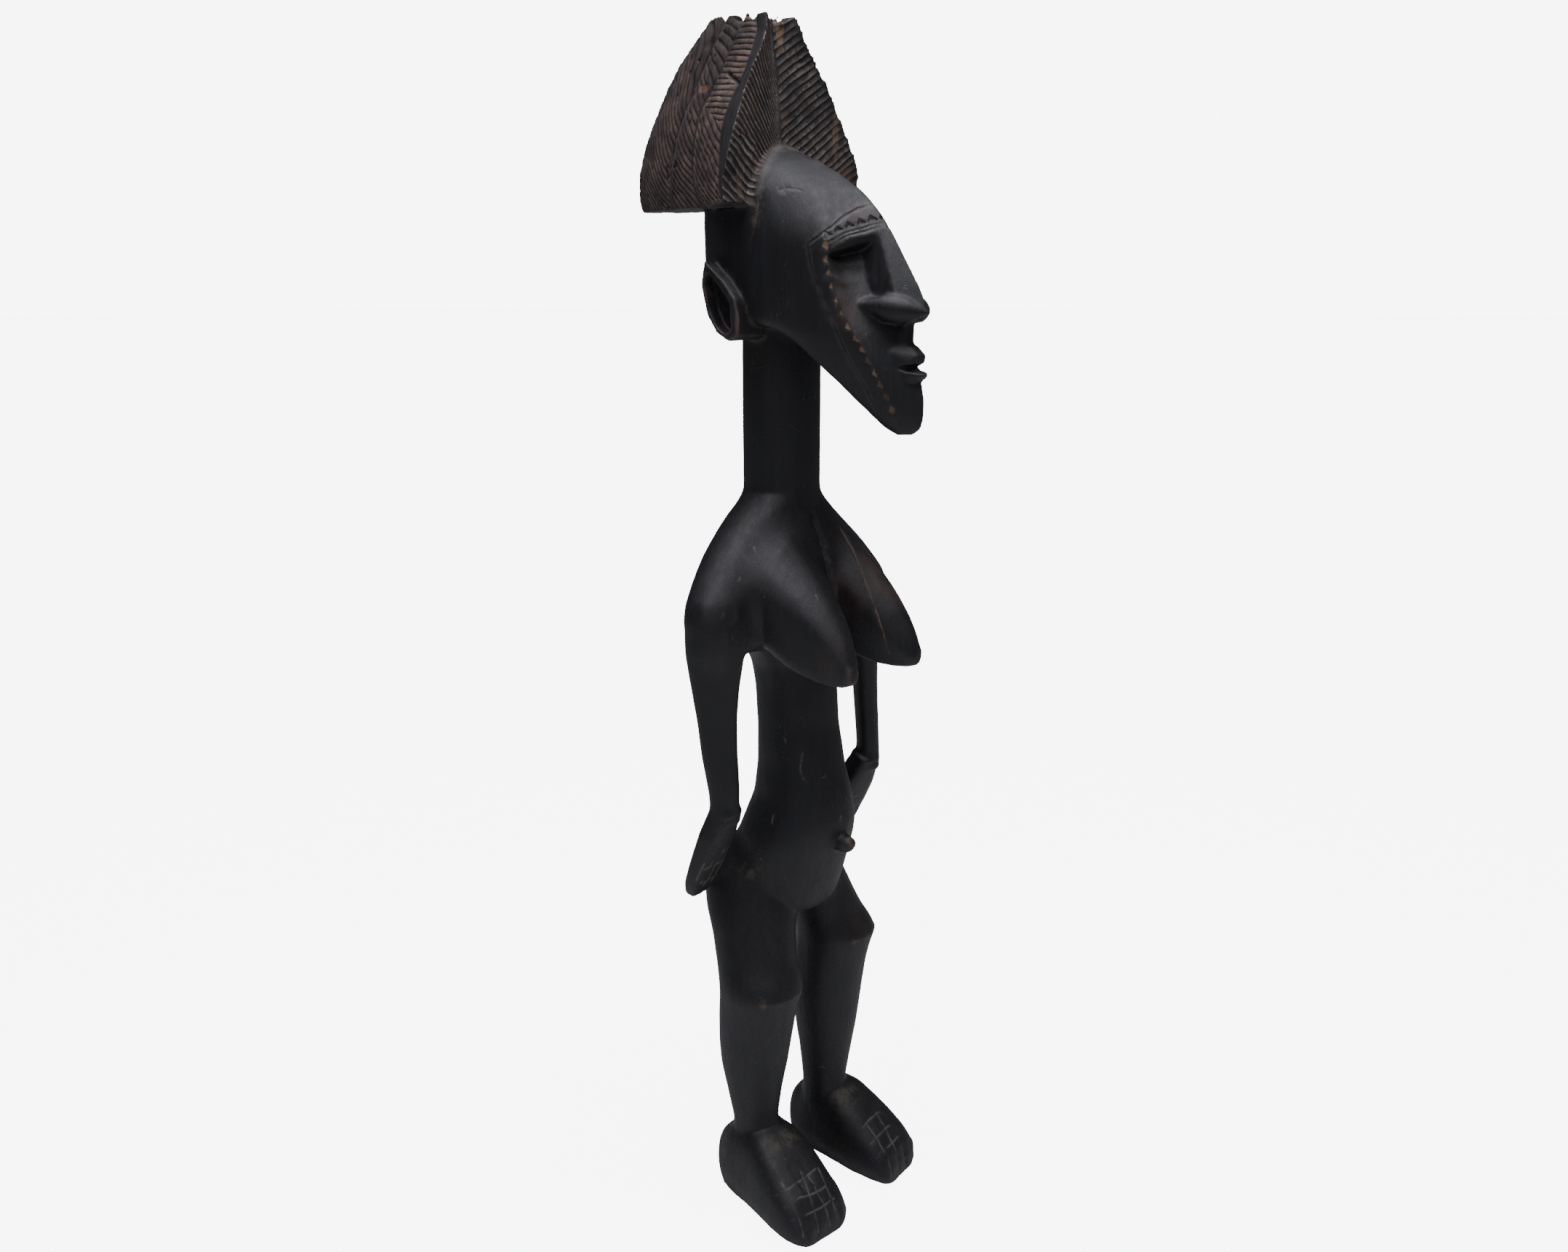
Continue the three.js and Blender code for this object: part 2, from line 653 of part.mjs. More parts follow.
function figure() {
  return joined([
    torso(),
    shoulders().add(bothSides(arm())).subtract(bothSides(armpit())),
    chest(),
    neck(),
    navel(),
    bothSides(breast()),
    mirrored(hand()),
    hand().translate([-leftHandInward, 0, 0]),
    bothSides(buttock()),
    mirrored(leg(rightKneeHeight, rightShinSetBack)),
    leg(leftKneeHeight, 0),
    mirrored(foot(rightFootTurn, 0, 1)),
    foot(leftFootTurn, leftFootOutward, leftFootSize),
    head(),
    face(),
    bothSides(ear()),
    crest(),
  ]).subtract(grooveCut());
}

const geometry = toGeometry(figure());
geometry.computeBoundingBox();
const box = geometry.boundingBox;
geometry.translate(-(box.min.x + box.max.x) / 2, -(box.min.y + box.max.y) / 2, -box.min.z);
const carving = geometry.toNonIndexed();
carving.computeVertexNormals();

const carved = new THREE.Mesh(
  carving,
  new THREE.MeshStandardMaterial({ color: 0x1f1c1c, roughness: 0.42, metalness: 0 }),
);
carved.name = 'carved_figure';

const powerFigure = new THREE.Group();
powerFigure.add(carved);

export default powerFigure;
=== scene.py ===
import math

import bpy
import numpy as np
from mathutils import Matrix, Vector
from mathutils.kdtree import KDTree


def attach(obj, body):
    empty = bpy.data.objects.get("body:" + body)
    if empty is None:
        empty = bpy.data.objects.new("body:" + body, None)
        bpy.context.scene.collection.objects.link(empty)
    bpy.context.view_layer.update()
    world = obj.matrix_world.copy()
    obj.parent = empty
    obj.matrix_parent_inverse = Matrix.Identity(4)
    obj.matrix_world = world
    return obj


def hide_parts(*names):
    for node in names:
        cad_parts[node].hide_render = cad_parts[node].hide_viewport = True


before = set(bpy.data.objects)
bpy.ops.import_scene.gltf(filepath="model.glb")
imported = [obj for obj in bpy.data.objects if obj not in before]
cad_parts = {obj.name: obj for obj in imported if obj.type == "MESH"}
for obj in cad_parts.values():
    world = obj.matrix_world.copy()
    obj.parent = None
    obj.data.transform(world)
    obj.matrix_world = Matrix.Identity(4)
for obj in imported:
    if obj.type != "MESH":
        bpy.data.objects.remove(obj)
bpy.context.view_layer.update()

# Points are in millimetres, as in the solid: x to the figure's left, y to its back, z up. Their y
# starts at the ankles, which stand this many millimetres in front of the frame's origin.
ankleY = 15.38


def pickOnly(obj):
    bpy.ops.object.select_all(action="DESELECT")
    obj.select_set(True)
    bpy.context.view_layer.objects.active = obj


def applyModifier(obj, kind, **values):
    pickOnly(obj)
    modifier = obj.modifiers.new(kind.title(), kind)
    for name, value in values.items():
        setattr(modifier, name, value)
    bpy.ops.object.modifier_apply(modifier=modifier.name)


def smoothStep(low, high, value):
    t = np.clip((value - low) / (high - low), 0, 1)
    return t * t * (3 - 2 * t)


def readPoints(mesh):
    flat = np.empty(len(mesh.vertices) * 3, np.float32)
    mesh.vertices.foreach_get("co", flat)
    return flat.reshape(-1, 3).astype(float) * 1000 + (0, ankleY, 0)


def writePoints(mesh, points):
    flat = ((points - (0, ankleY, 0)) / 1000).astype(np.float32)
    mesh.vertices.foreach_set("co", flat.ravel())
    mesh.update()


def readNormals(mesh):
    flat = np.empty(len(mesh.vertices) * 3, np.float32)
    mesh.vertex_normals.foreach_get("vector", flat)
    return flat.reshape(-1, 3).astype(float)


def readEdges(mesh):
    flat = np.empty(len(mesh.edges) * 2, np.int32)
    mesh.edges.foreach_get("vertices", flat)
    return flat.reshape(-1, 2)


# Average of the neighbours of every vertex
class Neighbours:
    def __init__(self, mesh):
        edges = readEdges(mesh)
        self.count = len(mesh.vertices)
        self.a = np.concatenate([edges[:, 0], edges[:, 1]])
        self.b = np.concatenate([edges[:, 1], edges[:, 0]])
        self.degree = np.maximum(np.bincount(self.a, minlength=self.count), 1)

    def mean(self, values):
        if values.ndim == 1:
            return np.bincount(self.a, values[self.b], self.count) / self.degree
        return np.stack([self.mean(values[:, k]) for k in range(values.shape[1])], 1)

    def relaxed(self, values, weight, rounds):
        share = weight[:, None] if values.ndim == 2 else weight
        for _ in range(rounds):
            values = values + 0.5 * share * (self.mean(values) - values)
        return values


# Soft random numbers in space, from -1 to 1, with bumps of the given size. The eight corners of the cell
# round a point each get a number, always the same for the same corner and seed.
def softNoise(points, size, seed):
    p = np.asarray(points) / size
    base = np.floor(p).astype(np.int64)
    f = p - base
    f = f * f * (3 - 2 * f)
    total = np.zeros(len(p))
    for dx in (0, 1):
        for dy in (0, 1):
            for dz in (0, 1):
                h = (base[:, 0] + dx) * 374761393 + (base[:, 1] + dy) * 668265263
                h = h + (base[:, 2] + dz) * 2147483647 + seed * 1274126177
                h = (h ^ (h >> 13)) * 1103515245 & 0x7FFFFFFF
                h = (h ^ (h >> 16)) & 0xFFFF
                share = (f[:, 0] if dx else 1 - f[:, 0]) * (f[:, 1] if dy else 1 - f[:, 1])
                total += share * (f[:, 2] if dz else 1 - f[:, 2]) * (h / 32767.5 - 1)
    return total


# Numbers between the rows of a table, for many keys at once
def between(rows, keys):
    table = np.array(rows, float)
    x = table[:, 0]
    steps = np.diff(x)
    out = []
    for column in table[:, 1:].T:
        rise = np.diff(column) / steps
        left, right = rise[:-1], rise[1:]
        slope = np.zeros(len(x))
        same = left * right > 0
        slope[1:-1][same] = 2 * left[same] * right[same] / (left[same] + right[same])
        slope[0], slope[-1] = rise[0], rise[-1]
        i = np.clip(np.searchsorted(x, keys) - 1, 0, len(x) - 2)
        t = np.clip((keys - x[i]) / steps[i], 0, 1)
        h = steps[i]
        out.append((2 * t**3 - 3 * t**2 + 1) * column[i] + (t**3 - 2 * t**2 + t) * slope[i] * h
                   + (3 * t**2 - 2 * t**3) * column[i + 1] + (t**3 - t**2) * slope[i + 1] * h)
    return out


# Distance from a line through a few points, how far along it the nearest point lies,
# the line's length and the height of the nearest point
def fromLine(points, line):
    best = np.full(len(points), 1e9)
    along = np.zeros(len(points))
    height = np.zeros(len(points))
    start = 0
    for a, b in zip(line, line[1:]):
        a, b = np.array(a, float), np.array(b, float)
        length = np.linalg.norm(b - a)
        t = np.clip((points - a) @ (b - a) / length**2, 0, 1)
        d = np.linalg.norm(points - a - t[:, None] * (b - a), axis=1)
        closer = d < best
        best[closer] = d[closer]
        along[closer] = start + t[closer] * length
        height[closer] = a[2] + t[closer] * (b[2] - a[2])
        start += length
    return best, along, start, height


carvedFigure = {
    "grain": 1.2,            # mm between points of the first skin
    "creaseAngle": 38,       # degrees; sharper edges of the solid stay crisp
    "crispReach": 4.5,       # mm from such an edge over which the smoothing comes in
    "smoothing": 60,         # rounds of it, and of giving back what it took from the larger forms
    "fillRounds": 16,        # of filling the hollows of the soft places, each with
    "fillSteps": 20,         # small steps that go
    "fillShare": 0.6,        # this share of the way
    "triangles": 196000,     # of the finished piece
    "lockDepth": 0.85,       # mm, strokes of the hair
    "lineDepth": 0.5,        # mm, incised lines of face, hands and feet
    "notchDepth": 0.9,       # mm, row of triangles along the edge of the face
    "notchApart": 8.2,       # mm from one to the next
    "notchSize": 3,          # mm
    "browDepth": 1.2,        # mm, row of triangles above the brow
    "browApart": 7.6,
    "browSize": 5,
    "hairBottom": 684,       # mm above the ground
    "seamDepth": 0.5,        # mm, grooves where two locks of hair meet
    "wornDepth": 0.8,        # mm, worn lumps on the locks
    "nickDepth": 0.9,        # mm, chips out of the locks
    "patchDepth": 1.1,       # mm, places where the wood has broken away
    "toolMarks": 0.16,       # mm, unevenness left by the knife
}

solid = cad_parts["carved_figure"]
figureMesh = solid.data.copy()
figure = bpy.data.objects.new("carvedFigure", figureMesh)
bpy.context.scene.collection.objects.link(figure)
pickOnly(figure)
bpy.ops.object.mode_set(mode="EDIT")
bpy.ops.mesh.select_all(action="SELECT")
bpy.ops.mesh.remove_doubles(threshold=0.00001)
bpy.ops.object.mode_set(mode="OBJECT")


# Points about every millimetre along the edges of the solid that are sharper than the limit
def sharpEdgePoints(mesh, limit):
    points = readPoints(mesh)
    normals = {}
    for polygon in mesh.polygons:
        for key in polygon.edge_keys:
            normals.setdefault(key, []).append(polygon.normal)
    found = []
    for (a, b), sides in normals.items():
        if len(sides) == 2 and sides[0].angle(sides[1], 0) > limit:
            length = np.linalg.norm(points[b] - points[a])
            for t in np.linspace(0, 1, max(2, int(length) + 1)):
                found.append(points[a] * (1 - t) + points[b] * t)
    return np.array(found)


sharp = sharpEdgePoints(figure.data, math.radians(carvedFigure["creaseAngle"]))
tree = KDTree(len(sharp))
for i, p in enumerate(sharp):
    tree.insert(p, i)
tree.balance()

applyModifier(figure, "REMESH", mode="VOXEL", voxel_size=carvedFigure["grain"] / 1000, adaptivity=0)
print("first skin", len(figure.data.vertices), "points", len(sharp), "sharp")

# Places where two forms of the solid run into each other and the wood has no edge, and below them
# places that are round all over: middle x, y, z and half sizes in mm, on both sides of the figure
softPlaces = {
    "shoulderToArm": ((80, 2, 414), (22, 26, 26)),
    "chest": ((40, -20, 478), (40, 30, 34)),
    "shoulder": ((62, -12, 468), (22, 22, 26)),
    "armpit": ((63, -14, 430), (12, 12, 30)),
    "backOfHip": ((26, 26, 245), (30, 26, 34)),
    "sideOfHip": ((36, 8, 250), (20, 22, 34)),
}
roundedPlaces = {
    "skull": ((0, 22, 690), (44, 60, 30)),
    "forehead": ((0, -38, 697), (32, 34, 20)),
    "sideOfHead": ((43, 5, 650), (14, 46, 26)),
}


def softness(points, places):
    side = np.abs(points[:, 0])
    total = np.zeros(len(points))
    for middle, half in places.values():
        q = np.sqrt(((side - middle[0]) / half[0]) ** 2 + ((points[:, 1] - middle[1]) / half[1]) ** 2
                    + ((points[:, 2] - middle[2]) / half[2]) ** 2)
        total = np.maximum(total, 1 - smoothStep(0.6, 1, q))
    return total


points = readPoints(figure.data)
near = Neighbours(figure.data)
distance = np.array([tree.find(p)[2] for p in points])
soft = softness(points, softPlaces)
rounded = np.where(distance < 1.5, 0.15, 1) * softness(points, roundedPlaces)
# 1 where the skin is smoothed fully, and near 0 along the crisp edges
weight = np.maximum(0.06 + 0.94 * smoothStep(0.8, carvedFigure["crispReach"], distance), soft)
weight = np.maximum(weight, rounded)
# nose, wings and lips keep their planes
x, y, z = points.T
noseAndLips = (np.abs(x) < 27) & (y < -72) & (z > 575) & (z < 640)
weight = np.where(noseAndLips, 0.12 * weight, weight)
whole = np.ones(len(points))
# facets go, but the larger forms keep their size
smooth = near.relaxed(points, weight, carvedFigure["smoothing"])
points = smooth + near.relaxed(points - smooth, whole, carvedFigure["smoothing"])
points = near.relaxed(points, 0.3 * whole, 2)
writePoints(figure.data, points)
# hollows between the joined forms are filled a little, and nothing is worn down
for _ in range(carvedFigure["fillRounds"]):
    normals = readNormals(figure.data)
    for _ in range(carvedFigure["fillSteps"]):
        lift = ((near.mean(points) - points) * normals).sum(1)
        points += (np.maximum(lift, 0) * soft * carvedFigure["fillShare"])[:, None] * normals
    writePoints(figure.data, points)
print("skin smoothed")

# The flat of the cheek runs back evenly into the hollow under the brow: mm pushed back at each
# distance from the middle, most of it at the height where the hollow begins
cheekPush = {9: 0, 12: 5, 20: 4.8, 24: 4.2, 28: 2.5, 31: 1, 32.5: 0}
cheekHeights = {610: 0, 637: 1, 650: 0}
side = np.abs(points[:, 0])
x, y, z = points.T
cheek = -75.7 + 0.775 * (side - 12) - 0.33 * (637 - z)      # y of the cheek's flat
push = np.interp(side, list(cheekPush), list(cheekPush.values()))
push *= np.interp(z, list(cheekHeights), list(cheekHeights.values())) * smoothStep(-4.5, -2, y - cheek)
push *= (y < -45) * (normals[:, 1] < -0.2)
points[:, 1] += push
points = near.relaxed(points, smoothStep(0, 3, push), 3)
writePoints(figure.data, points)

# The skin is made finer where there is carving
hairBottom = carvedFigure["hairBottom"]
side = np.abs(points[:, 0])
x, y, z = points.T
finer = (z > hairBottom) & ((y > -6) | (z > 724) | (side > 42))      # hair
finer |= (y < -38) & (z > 545) & (z < 690)                           # face
finer |= (side > 56) & (z > 236) & (z < 320) & (y < 16)              # backs of the hands
finer |= (z < 50) & (y < -30)                                        # front of the feet
finer |= (y < -12) & (z > 395) & (z < 500) & (x > -6) & (x < 32)     # cracked breast
mesh = figure.data
corner = np.empty(len(mesh.loops), np.int32)
mesh.loops.foreach_get("vertex_index", corner)
first = np.empty(len(mesh.polygons), np.int32)
mesh.polygons.foreach_get("loop_start", first)
chosen = finer[corner[first]]
for parts in (mesh.vertices, mesh.edges, mesh.polygons):
    parts.foreach_set("select", np.zeros(len(parts), bool))
mesh.polygons.foreach_set("select", chosen)
pickOnly(figure)
bpy.ops.object.mode_set(mode="EDIT")
bpy.ops.mesh.select_mode(type="FACE")
bpy.ops.mesh.subdivide(number_cuts=1)
bpy.ops.object.mode_set(mode="OBJECT")
points = readPoints(figure.data)
near = Neighbours(figure.data)
points = near.relaxed(points, 0.5 * np.ones(len(points)), 2)
writePoints(figure.data, points)
normals = readNormals(figure.data)
print("finer skin", len(points), "points")

depth = np.zeros(len(points))      # mm cut into the surface
cut = np.zeros(len(points))        # 1 in the cuts, which hold dirt; in the triangles above the brow it is painted shadow
pale = np.zeros(len(points))       # 1 where raw wood shows
light = np.zeros(len(points))      # 1 on greyish scratches and rubbed lines
rubbed = np.zeros(len(points))     # 1 on ridges worn to lighter brown
side = np.abs(points[:, 0])
x, y, z = points.T

# Hair: outline of half the crest at each height, as in the solid. A row has the height, x and y of six
# corners from the back round to the front, and y of the fold in the middle
crestRows = [
    [686, 5, 133.5, 19, 92, 24, 74, 26, 54, 67, -2, 67.8, -3, 6],
    [700, 5, 136, 18.5, 92, 24, 76, 25.5, 62, 61, 6.6, 65.8, -0.9, 8],
    [713, 5, 135, 18, 92, 23.5, 77, 25, 63.5, 55, 11.4, 63, -2.4, 9],
    [739, 4.5, 123.5, 18, 82, 22, 71, 24, 60, 44, 17.4, 49.6, 0.6, 12],
    [767, 4, 105.5, 16, 65.6, 20, 53, 20, 43, 28, 14, 34, 3.2, 14],
    [787, 4, 86.5, 13.5, 54, 16, 45, 15, 35, 17, 14.8, 19, 5.5, 18],
    [801.5, 3.5, 67, 10, 47, 12, 38, 11, 30, 12, 20, 14, 9, 19],
]
crestBottom, crestTop = crestRows[0][0], crestRows[-1][0]
# Strips of hair between the corners; the second takes up two sides of the outline
rearLock, middleLock, sideLock, edgeBand, frontFan = range(5)
stripOf = [rearLock, middleLock, middleLock, sideLock, edgeBand, frontFan]
# Strokes on each strip: slant, and mm from one stroke to the next
hairStrokes = {
    "rearLock": (0.85, 4.4),
    "middleLock": (0.6, 4.4),
    "sideLock": (0.1, 3.3),
    "steep": (0.55, 5.2),      # lower part of the side lock
    "fan": (10, 5.0),          # bends down from the edge band to the fold
    "coarse": (0.62, 6.0),     # lower inner part of the fan
    "farFan": (0.68, 5.2),
}


# The nearest strip, the distance to it, and how far along it a point lies from its rear and front edge
def nearestStrip(cx, cy, cz):
    row = between(crestRows, np.clip(cz, crestBottom, crestTop))
    corners = [(row[k], row[k + 1]) for k in range(0, 12, 2)] + [(0 * cz, row[12])]
    lengths = [np.hypot(b[0] - a[0], b[1] - a[1]) for a, b in zip(corners, corners[1:])]
    bestGap = np.full(len(cz), 1e9)
    strip = np.full(len(cz), -1)
    forward = np.zeros(len(cz))
    ahead = np.zeros(len(cz))
    for k, ((ax, ay), (bx, by)) in enumerate(zip(corners, corners[1:])):
        squared = np.maximum(lengths[k], 1e-6) ** 2
        t = np.clip(((cx - ax) * (bx - ax) + (cy - ay) * (by - ay)) / squared, 0, 1)
        gap = np.hypot(cx - ax - t * (bx - ax), cy - ay - t * (by - ay))
        closer = gap < bestGap
        # sides 1 and 2 of the outline make up one strip
        before = lengths[1] if k == 2 else 0 * cz
        after = lengths[2] if k == 1 else 0 * cz
        bestGap[closer] = gap[closer]
        strip[closer] = stripOf[k]
        forward[closer] = (before + t * lengths[k])[closer]
        ahead[closer] = (after + (1 - t) * lengths[k])[closer]
    return bestGap, strip, forward, ahead


crestPlace = np.where(z > hairBottom)[0]
place = points[crestPlace]
cx, cy, cz = side[crestPlace], y[crestPlace], z[crestPlace]
bestGap, strip, forward, ahead = nearestStrip(cx, cy, cz)
far = x[crestPlace] > 0
onLock = strip < edgeBand
fan = strip == frontFan
nearFan, farFan = fan & ~far, fan & far
steep = (strip == sideLock) & (cz < 750 - 0.35 * forward)
outward = np.where(fan, ahead, 0)
coarse = nearFan & (cz < 722 - 5 * np.sin(outward / 9)) & (outward > 0.5 * (forward + ahead))

# Place of each point on the strokes: 0 to 1 from one stroke to the next
rearSlant, rearPitch = hairStrokes["rearLock"]
middleSlant, middlePitch = hairStrokes["middleLock"]
lockSlant = np.where(strip == rearLock, rearSlant, middleSlant)
phase = cz + (lockSlant * smoothStep(815, 745, cz) + 0.2) * forward
pitch = np.where(strip == rearLock, rearPitch, middlePitch)
for name, where, run in (("sideLock", strip == sideLock, forward), ("steep", steep, forward),
                         ("fan", nearFan, -np.sqrt(np.maximum(outward, 0))), ("coarse", coarse, -outward),
                         ("farFan", farFan, -outward)):
    slant, apart = hairStrokes[name]
    phase[where] = (cz + slant * run)[where]
    pitch[where] = apart
wander = softNoise(place, 11, 3) * 0.16 + softNoise(place, 4, 4) * 0.05
turn = (phase / pitch + wander) % 1
fanWidth, lockWidth = 0.3, 0.21      # half a groove, as a share of the way to the next
slope, back = 0.86, 0.14             # long and short side of a step
vGroove = np.clip(1 - np.abs(turn - 0.5) / np.where(fan, fanWidth, lockWidth), 0, 1)
sawTooth = np.where(turn < slope, turn / slope, (1 - turn) / back)
stepped = coarse | farFan
stroke = np.where(stepped, sawTooth, vGroove)
level = softNoise(place, 8, 5)

# The strokes end short of the edges of their strip, of the crest and of its seam with the skull
border = np.minimum(forward, ahead)
inside = smoothStep(0.3, 1.7, border) * (1 - smoothStep(3.5, 5, bestGap))
inside *= smoothStep(685.5, 687.5, cz) * (1 - smoothStep(799, 802, cz))
inside = np.where(strip == edgeBand, 0, inside)
inside *= np.where(farFan, smoothStep(2, 4.5, forward), 1)
inside *= np.where(normals[crestPlace][:, 2] < -0.75, 0, 1)
seamHeights = {0: 724, 12.5: 719, 23.6: 712, 30.4: 705, 35.2: 698, 38.7: 690}     # by distance from the middle
aboveSeam = cz - np.interp(cx, list(seamHeights), list(seamHeights.values()))
inside *= np.where((cx < 39) & (cy < 14), smoothStep(0.5, 4, aboveSeam), 1)

hairDepth = carvedFigure["lockDepth"] * (0.85 + 0.3 * level) * stroke * inside
hairCut = np.where(stepped, smoothStep(0.7, 0.95, stroke), vGroove) * inside
hairRubbed = inside * np.where(stepped, 1 - smoothStep(0.03, 0.2, turn), 0.85 * (1 - vGroove))
hairRubbed *= np.where(strip < sideLock, 0.55, np.where(farFan, 0.4, 1.1)) * (0.75 + 0.5 * level)

# Chalky edges of the strokes on the fans, and the worn white edge of the band
ridge = np.exp(-(((turn + 0.5) % 1 - 0.5 - 0.04) / 0.08) ** 2) * inside
thin = nearFan & ~coarse
hairRubbed = np.where(thin, (0.3 + 0.4 * ridge) * inside, hairRubbed)
hairCut = np.where(thin, np.maximum(hairCut, 0.6 * vGroove * inside), hairCut)
hairLight = np.where(farFan, 0.27, np.where(coarse, 0.5, np.where(thin, 0.45, 0))) * ridge
hairLight *= 0.6 + 0.8 * np.clip(0.5 + level, 0, 1)
edgeOfBand = ((strip == edgeBand) & (ahead < 1.0)) | (fan & (forward < 0.7))
edgeOfBand = edgeOfBand * ~far * (bestGap < 2.5) * (cz > 706)
edgeOfBand = edgeOfBand * np.clip(0.55 + 0.9 * softNoise(place, 3, 12), 0, 1)
hairLight = np.maximum(hairLight, 0.9 * edgeOfBand)

# Grooves where two locks meet, worn lumps on the locks, and chips out of them
onCrest = bestGap < 4
worn = np.clip(softNoise(place, 6, 8) - 0.1, 0, 1) * onLock
nick = smoothStep(0.75, 0.95, softNoise(place * (1, 1, 0.7), 4.5, 19)) * onLock * onCrest
hairDepth += carvedFigure["seamDepth"] * (1 - smoothStep(0, 1.6, border)) * onLock * onCrest
hairDepth += carvedFigure["wornDepth"] * worn + 0.35 * softNoise(place * (1, 1, 0.6), 3.5, 18) * onLock
hairDepth += carvedFigure["nickDepth"] * nick
hairCut = np.maximum(hairCut, nick)

# Raw wood where the fold has broken near its top, and eroded wood on the locks: middle x, y, z and half
# sizes in mm, strength
hairPale = np.zeros(len(cz))
patches = [((5, 18, 790), (3.6, 7, 15), 0.75), ((-21, 57, 759), (6, 8, 3.5), 0.5),
           ((44, 2.5, 732), (3, 4, 22), 0.4), ((-25, 48, 745), (5, 8, 12), 0.3),
           ((-50, 6, 700), (9, 9, 13), 0.3), ((52, 0, 706), (9, 6, 12), 0.25)]
for middle, half, strength in patches:
    q = np.sqrt((((place - middle) / half) ** 2).sum(1)) + 0.35 * softNoise(place, 4, 9)
    patch = strength * (1 - smoothStep(0.55, 0.9, q))
    hairPale = np.maximum(hairPale, patch)
    hairDepth += carvedFigure["patchDepth"] * patch * (0.7 + 0.5 * softNoise(place * (1, 1, 0.3), 2.5, 10))
depth[crestPlace], cut[crestPlace], pale[crestPlace] = hairDepth, hairCut, hairPale
rubbed[crestPlace], light[crestPlace] = hairRubbed, hairLight
hair, band, front = np.zeros(len(points)), np.zeros(len(points)), np.zeros(len(points))
hair[crestPlace] = np.maximum(onCrest * smoothStep(hairBottom, hairBottom + 3, cz), smoothStep(735, 745, cz))
band[crestPlace] = (strip == edgeBand) * onCrest
front[crestPlace] = fan * onCrest
print("hair carved")


# Cuts a line into the surface, with its width and depth in mm, on both sides of the figure or as given.
# dirt, bare wood, chalk and a pale edge are shares from 0 to 1, and so is how uneven the depth is.
def incise(line, width, lineDepth, both=True, dirt=1.0, bare=0.0, uneven=0.35, seed=1, edge=0.0, chalk=0.0):
    p = points.copy()
    if both:
        p[:, 0] = -side
    low, high = np.min(line, axis=0) - 6, np.max(line, axis=0) + 6
    at = np.where(((p > low) & (p < high)).all(1))[0]
    if not len(at):
        return
    wobble = 0.35 * softNoise(points[at], 7, seed)[:, None]
    away, along, length, _ = fromLine(p[at] + wobble, line)
    ends = smoothStep(-0.2, 1.5, along) * smoothStep(-0.2, 1.5, length - along)
    shape = np.exp(-(away / width) ** 2) * (0.15 + 0.85 * ends)
    shape *= 1 - uneven * (0.5 + 0.5 * softNoise(points[at], 5, seed + 40))
    depth[at] = np.maximum(depth[at], lineDepth * shape)
    cut[at] = np.maximum(cut[at], dirt * shape)
    pale[at] = np.maximum(pale[at], bare * shape)
    light[at] = np.maximum(light[at], chalk * shape)
    light[at] = np.maximum(light[at], edge * np.exp(-((away - 2.1 * width) / (0.7 * width)) ** 2) * ends)


def shift(line, dx, dy, dz):
    return [(a + dx, b + dy, c + dz) for a, b, c in line]


# Lines of the right side, from chin to brow or from the temple to the middle of the forehead
faceEdge = [(-5, -92, 549.5), (-8, -92, 553), (-12.2, -91.5, 561), (-17.2, -88, 574), (-20.3, -85, 583),
            (-25.8, -77.8, 601), (-28.2, -71.8, 611), (-30, -66.8, 620), (-32, -60.8, 635), (-33, -55.8, 654),
            (-33, -55, 662)]
outerLine = [(-36.8, -42.7, 661.8), (-36.7, -44.4, 653.4), (-36.7, -46.7, 645), (-36.2, -50.4, 634),
             (-34.4, -55.7, 623.8), (-32, -61.8, 611.1), (-27.4, -67.2, 597.4), (-22.1, -74.3, 581.9),
             (-15.9, -80.9, 563.6)]
topLine = [(-36.8, -42.7, 661.8), (-33.7, -49.2, 667.2), (-27.9, -53.3, 671.9), (-17.3, -55.7, 678.8),
           (-8.8, -58.9, 683.2), (0.5, -63.6, 685.3)]
browLine = [(-32.9, -55.8, 660.8), (-27.8, -58.9, 664.2), (-21.9, -61.9, 666.8), (-16.1, -64.9, 668.5),
            (-10.4, -68.2, 670.3), (0.5, -73, 673)]
# Seam between skull and crest, thick with dust
seam = [(-0.5, 10, 725), (-12.5, 3.8, 718.7), (-23.6, -1.1, 712.1), (-30.4, -3.2, 705.2), (-35.2, -4.5, 697.8),
        (-38.7, -3.7, 690.6)]
fine = carvedFigure["lineDepth"]
incise(outerLine, 0.6, fine, seed=2, edge=0.05)
incise(shift(outerLine, 0.5, -2.5, -0.3), 0.5, 0.8 * fine, seed=3)
incise(topLine, 0.65, 1.3 * fine, seed=4, edge=0.12)
incise(seam, 2.4, 0.1, dirt=0, uneven=0.8, seed=31, chalk=0.16)
incise(shift(topLine, 0.5, -1.3, -2.4), 0.5, 0.8 * fine, seed=5)
incise(browLine, 0.65, 1.3 * fine, seed=6, edge=0.16)
incise(shift(browLine, 0.3, 0.8, 1.9), 0.5, 0.8 * fine, seed=7)
incise(shift(faceEdge, 1.6, -1.2, 0), 0.55, 0.7 * fine, seed=8)

# Row of triangles cut along the edge of the face; turn runs 0 to 1 from one triangle to the next
mirrored = np.stack([-side, y, z], 1)
at = np.where((z > 555) & (z < 664) & (y < -36) & (side > 8))[0]
away, along, _, _ = fromLine(mirrored[at], faceEdge)
onSide = smoothStep(0.72, 0.84, np.abs(normals[at, 0]))
turn = (along / carvedFigure["notchApart"] + 0.3 + 0.12 * softNoise(points[at], 16, 22)) % 1
size = carvedFigure["notchSize"] + 0.9 * softNoise(points[at], 13, 23) + 0.012 * (z[at] - 612)
reach = size * np.clip(1 - np.abs(2 * turn - 1) / 0.72, 0, 1)
triangle = smoothStep(-0.5, 0.4, reach - away) * onSide * smoothStep(8, 20, along)
triangle *= 0.2 + 0.6 * smoothStep(-0.6, 0.4, softNoise(points[at], 7, 21) + 0.014 * (z[at] - 612))
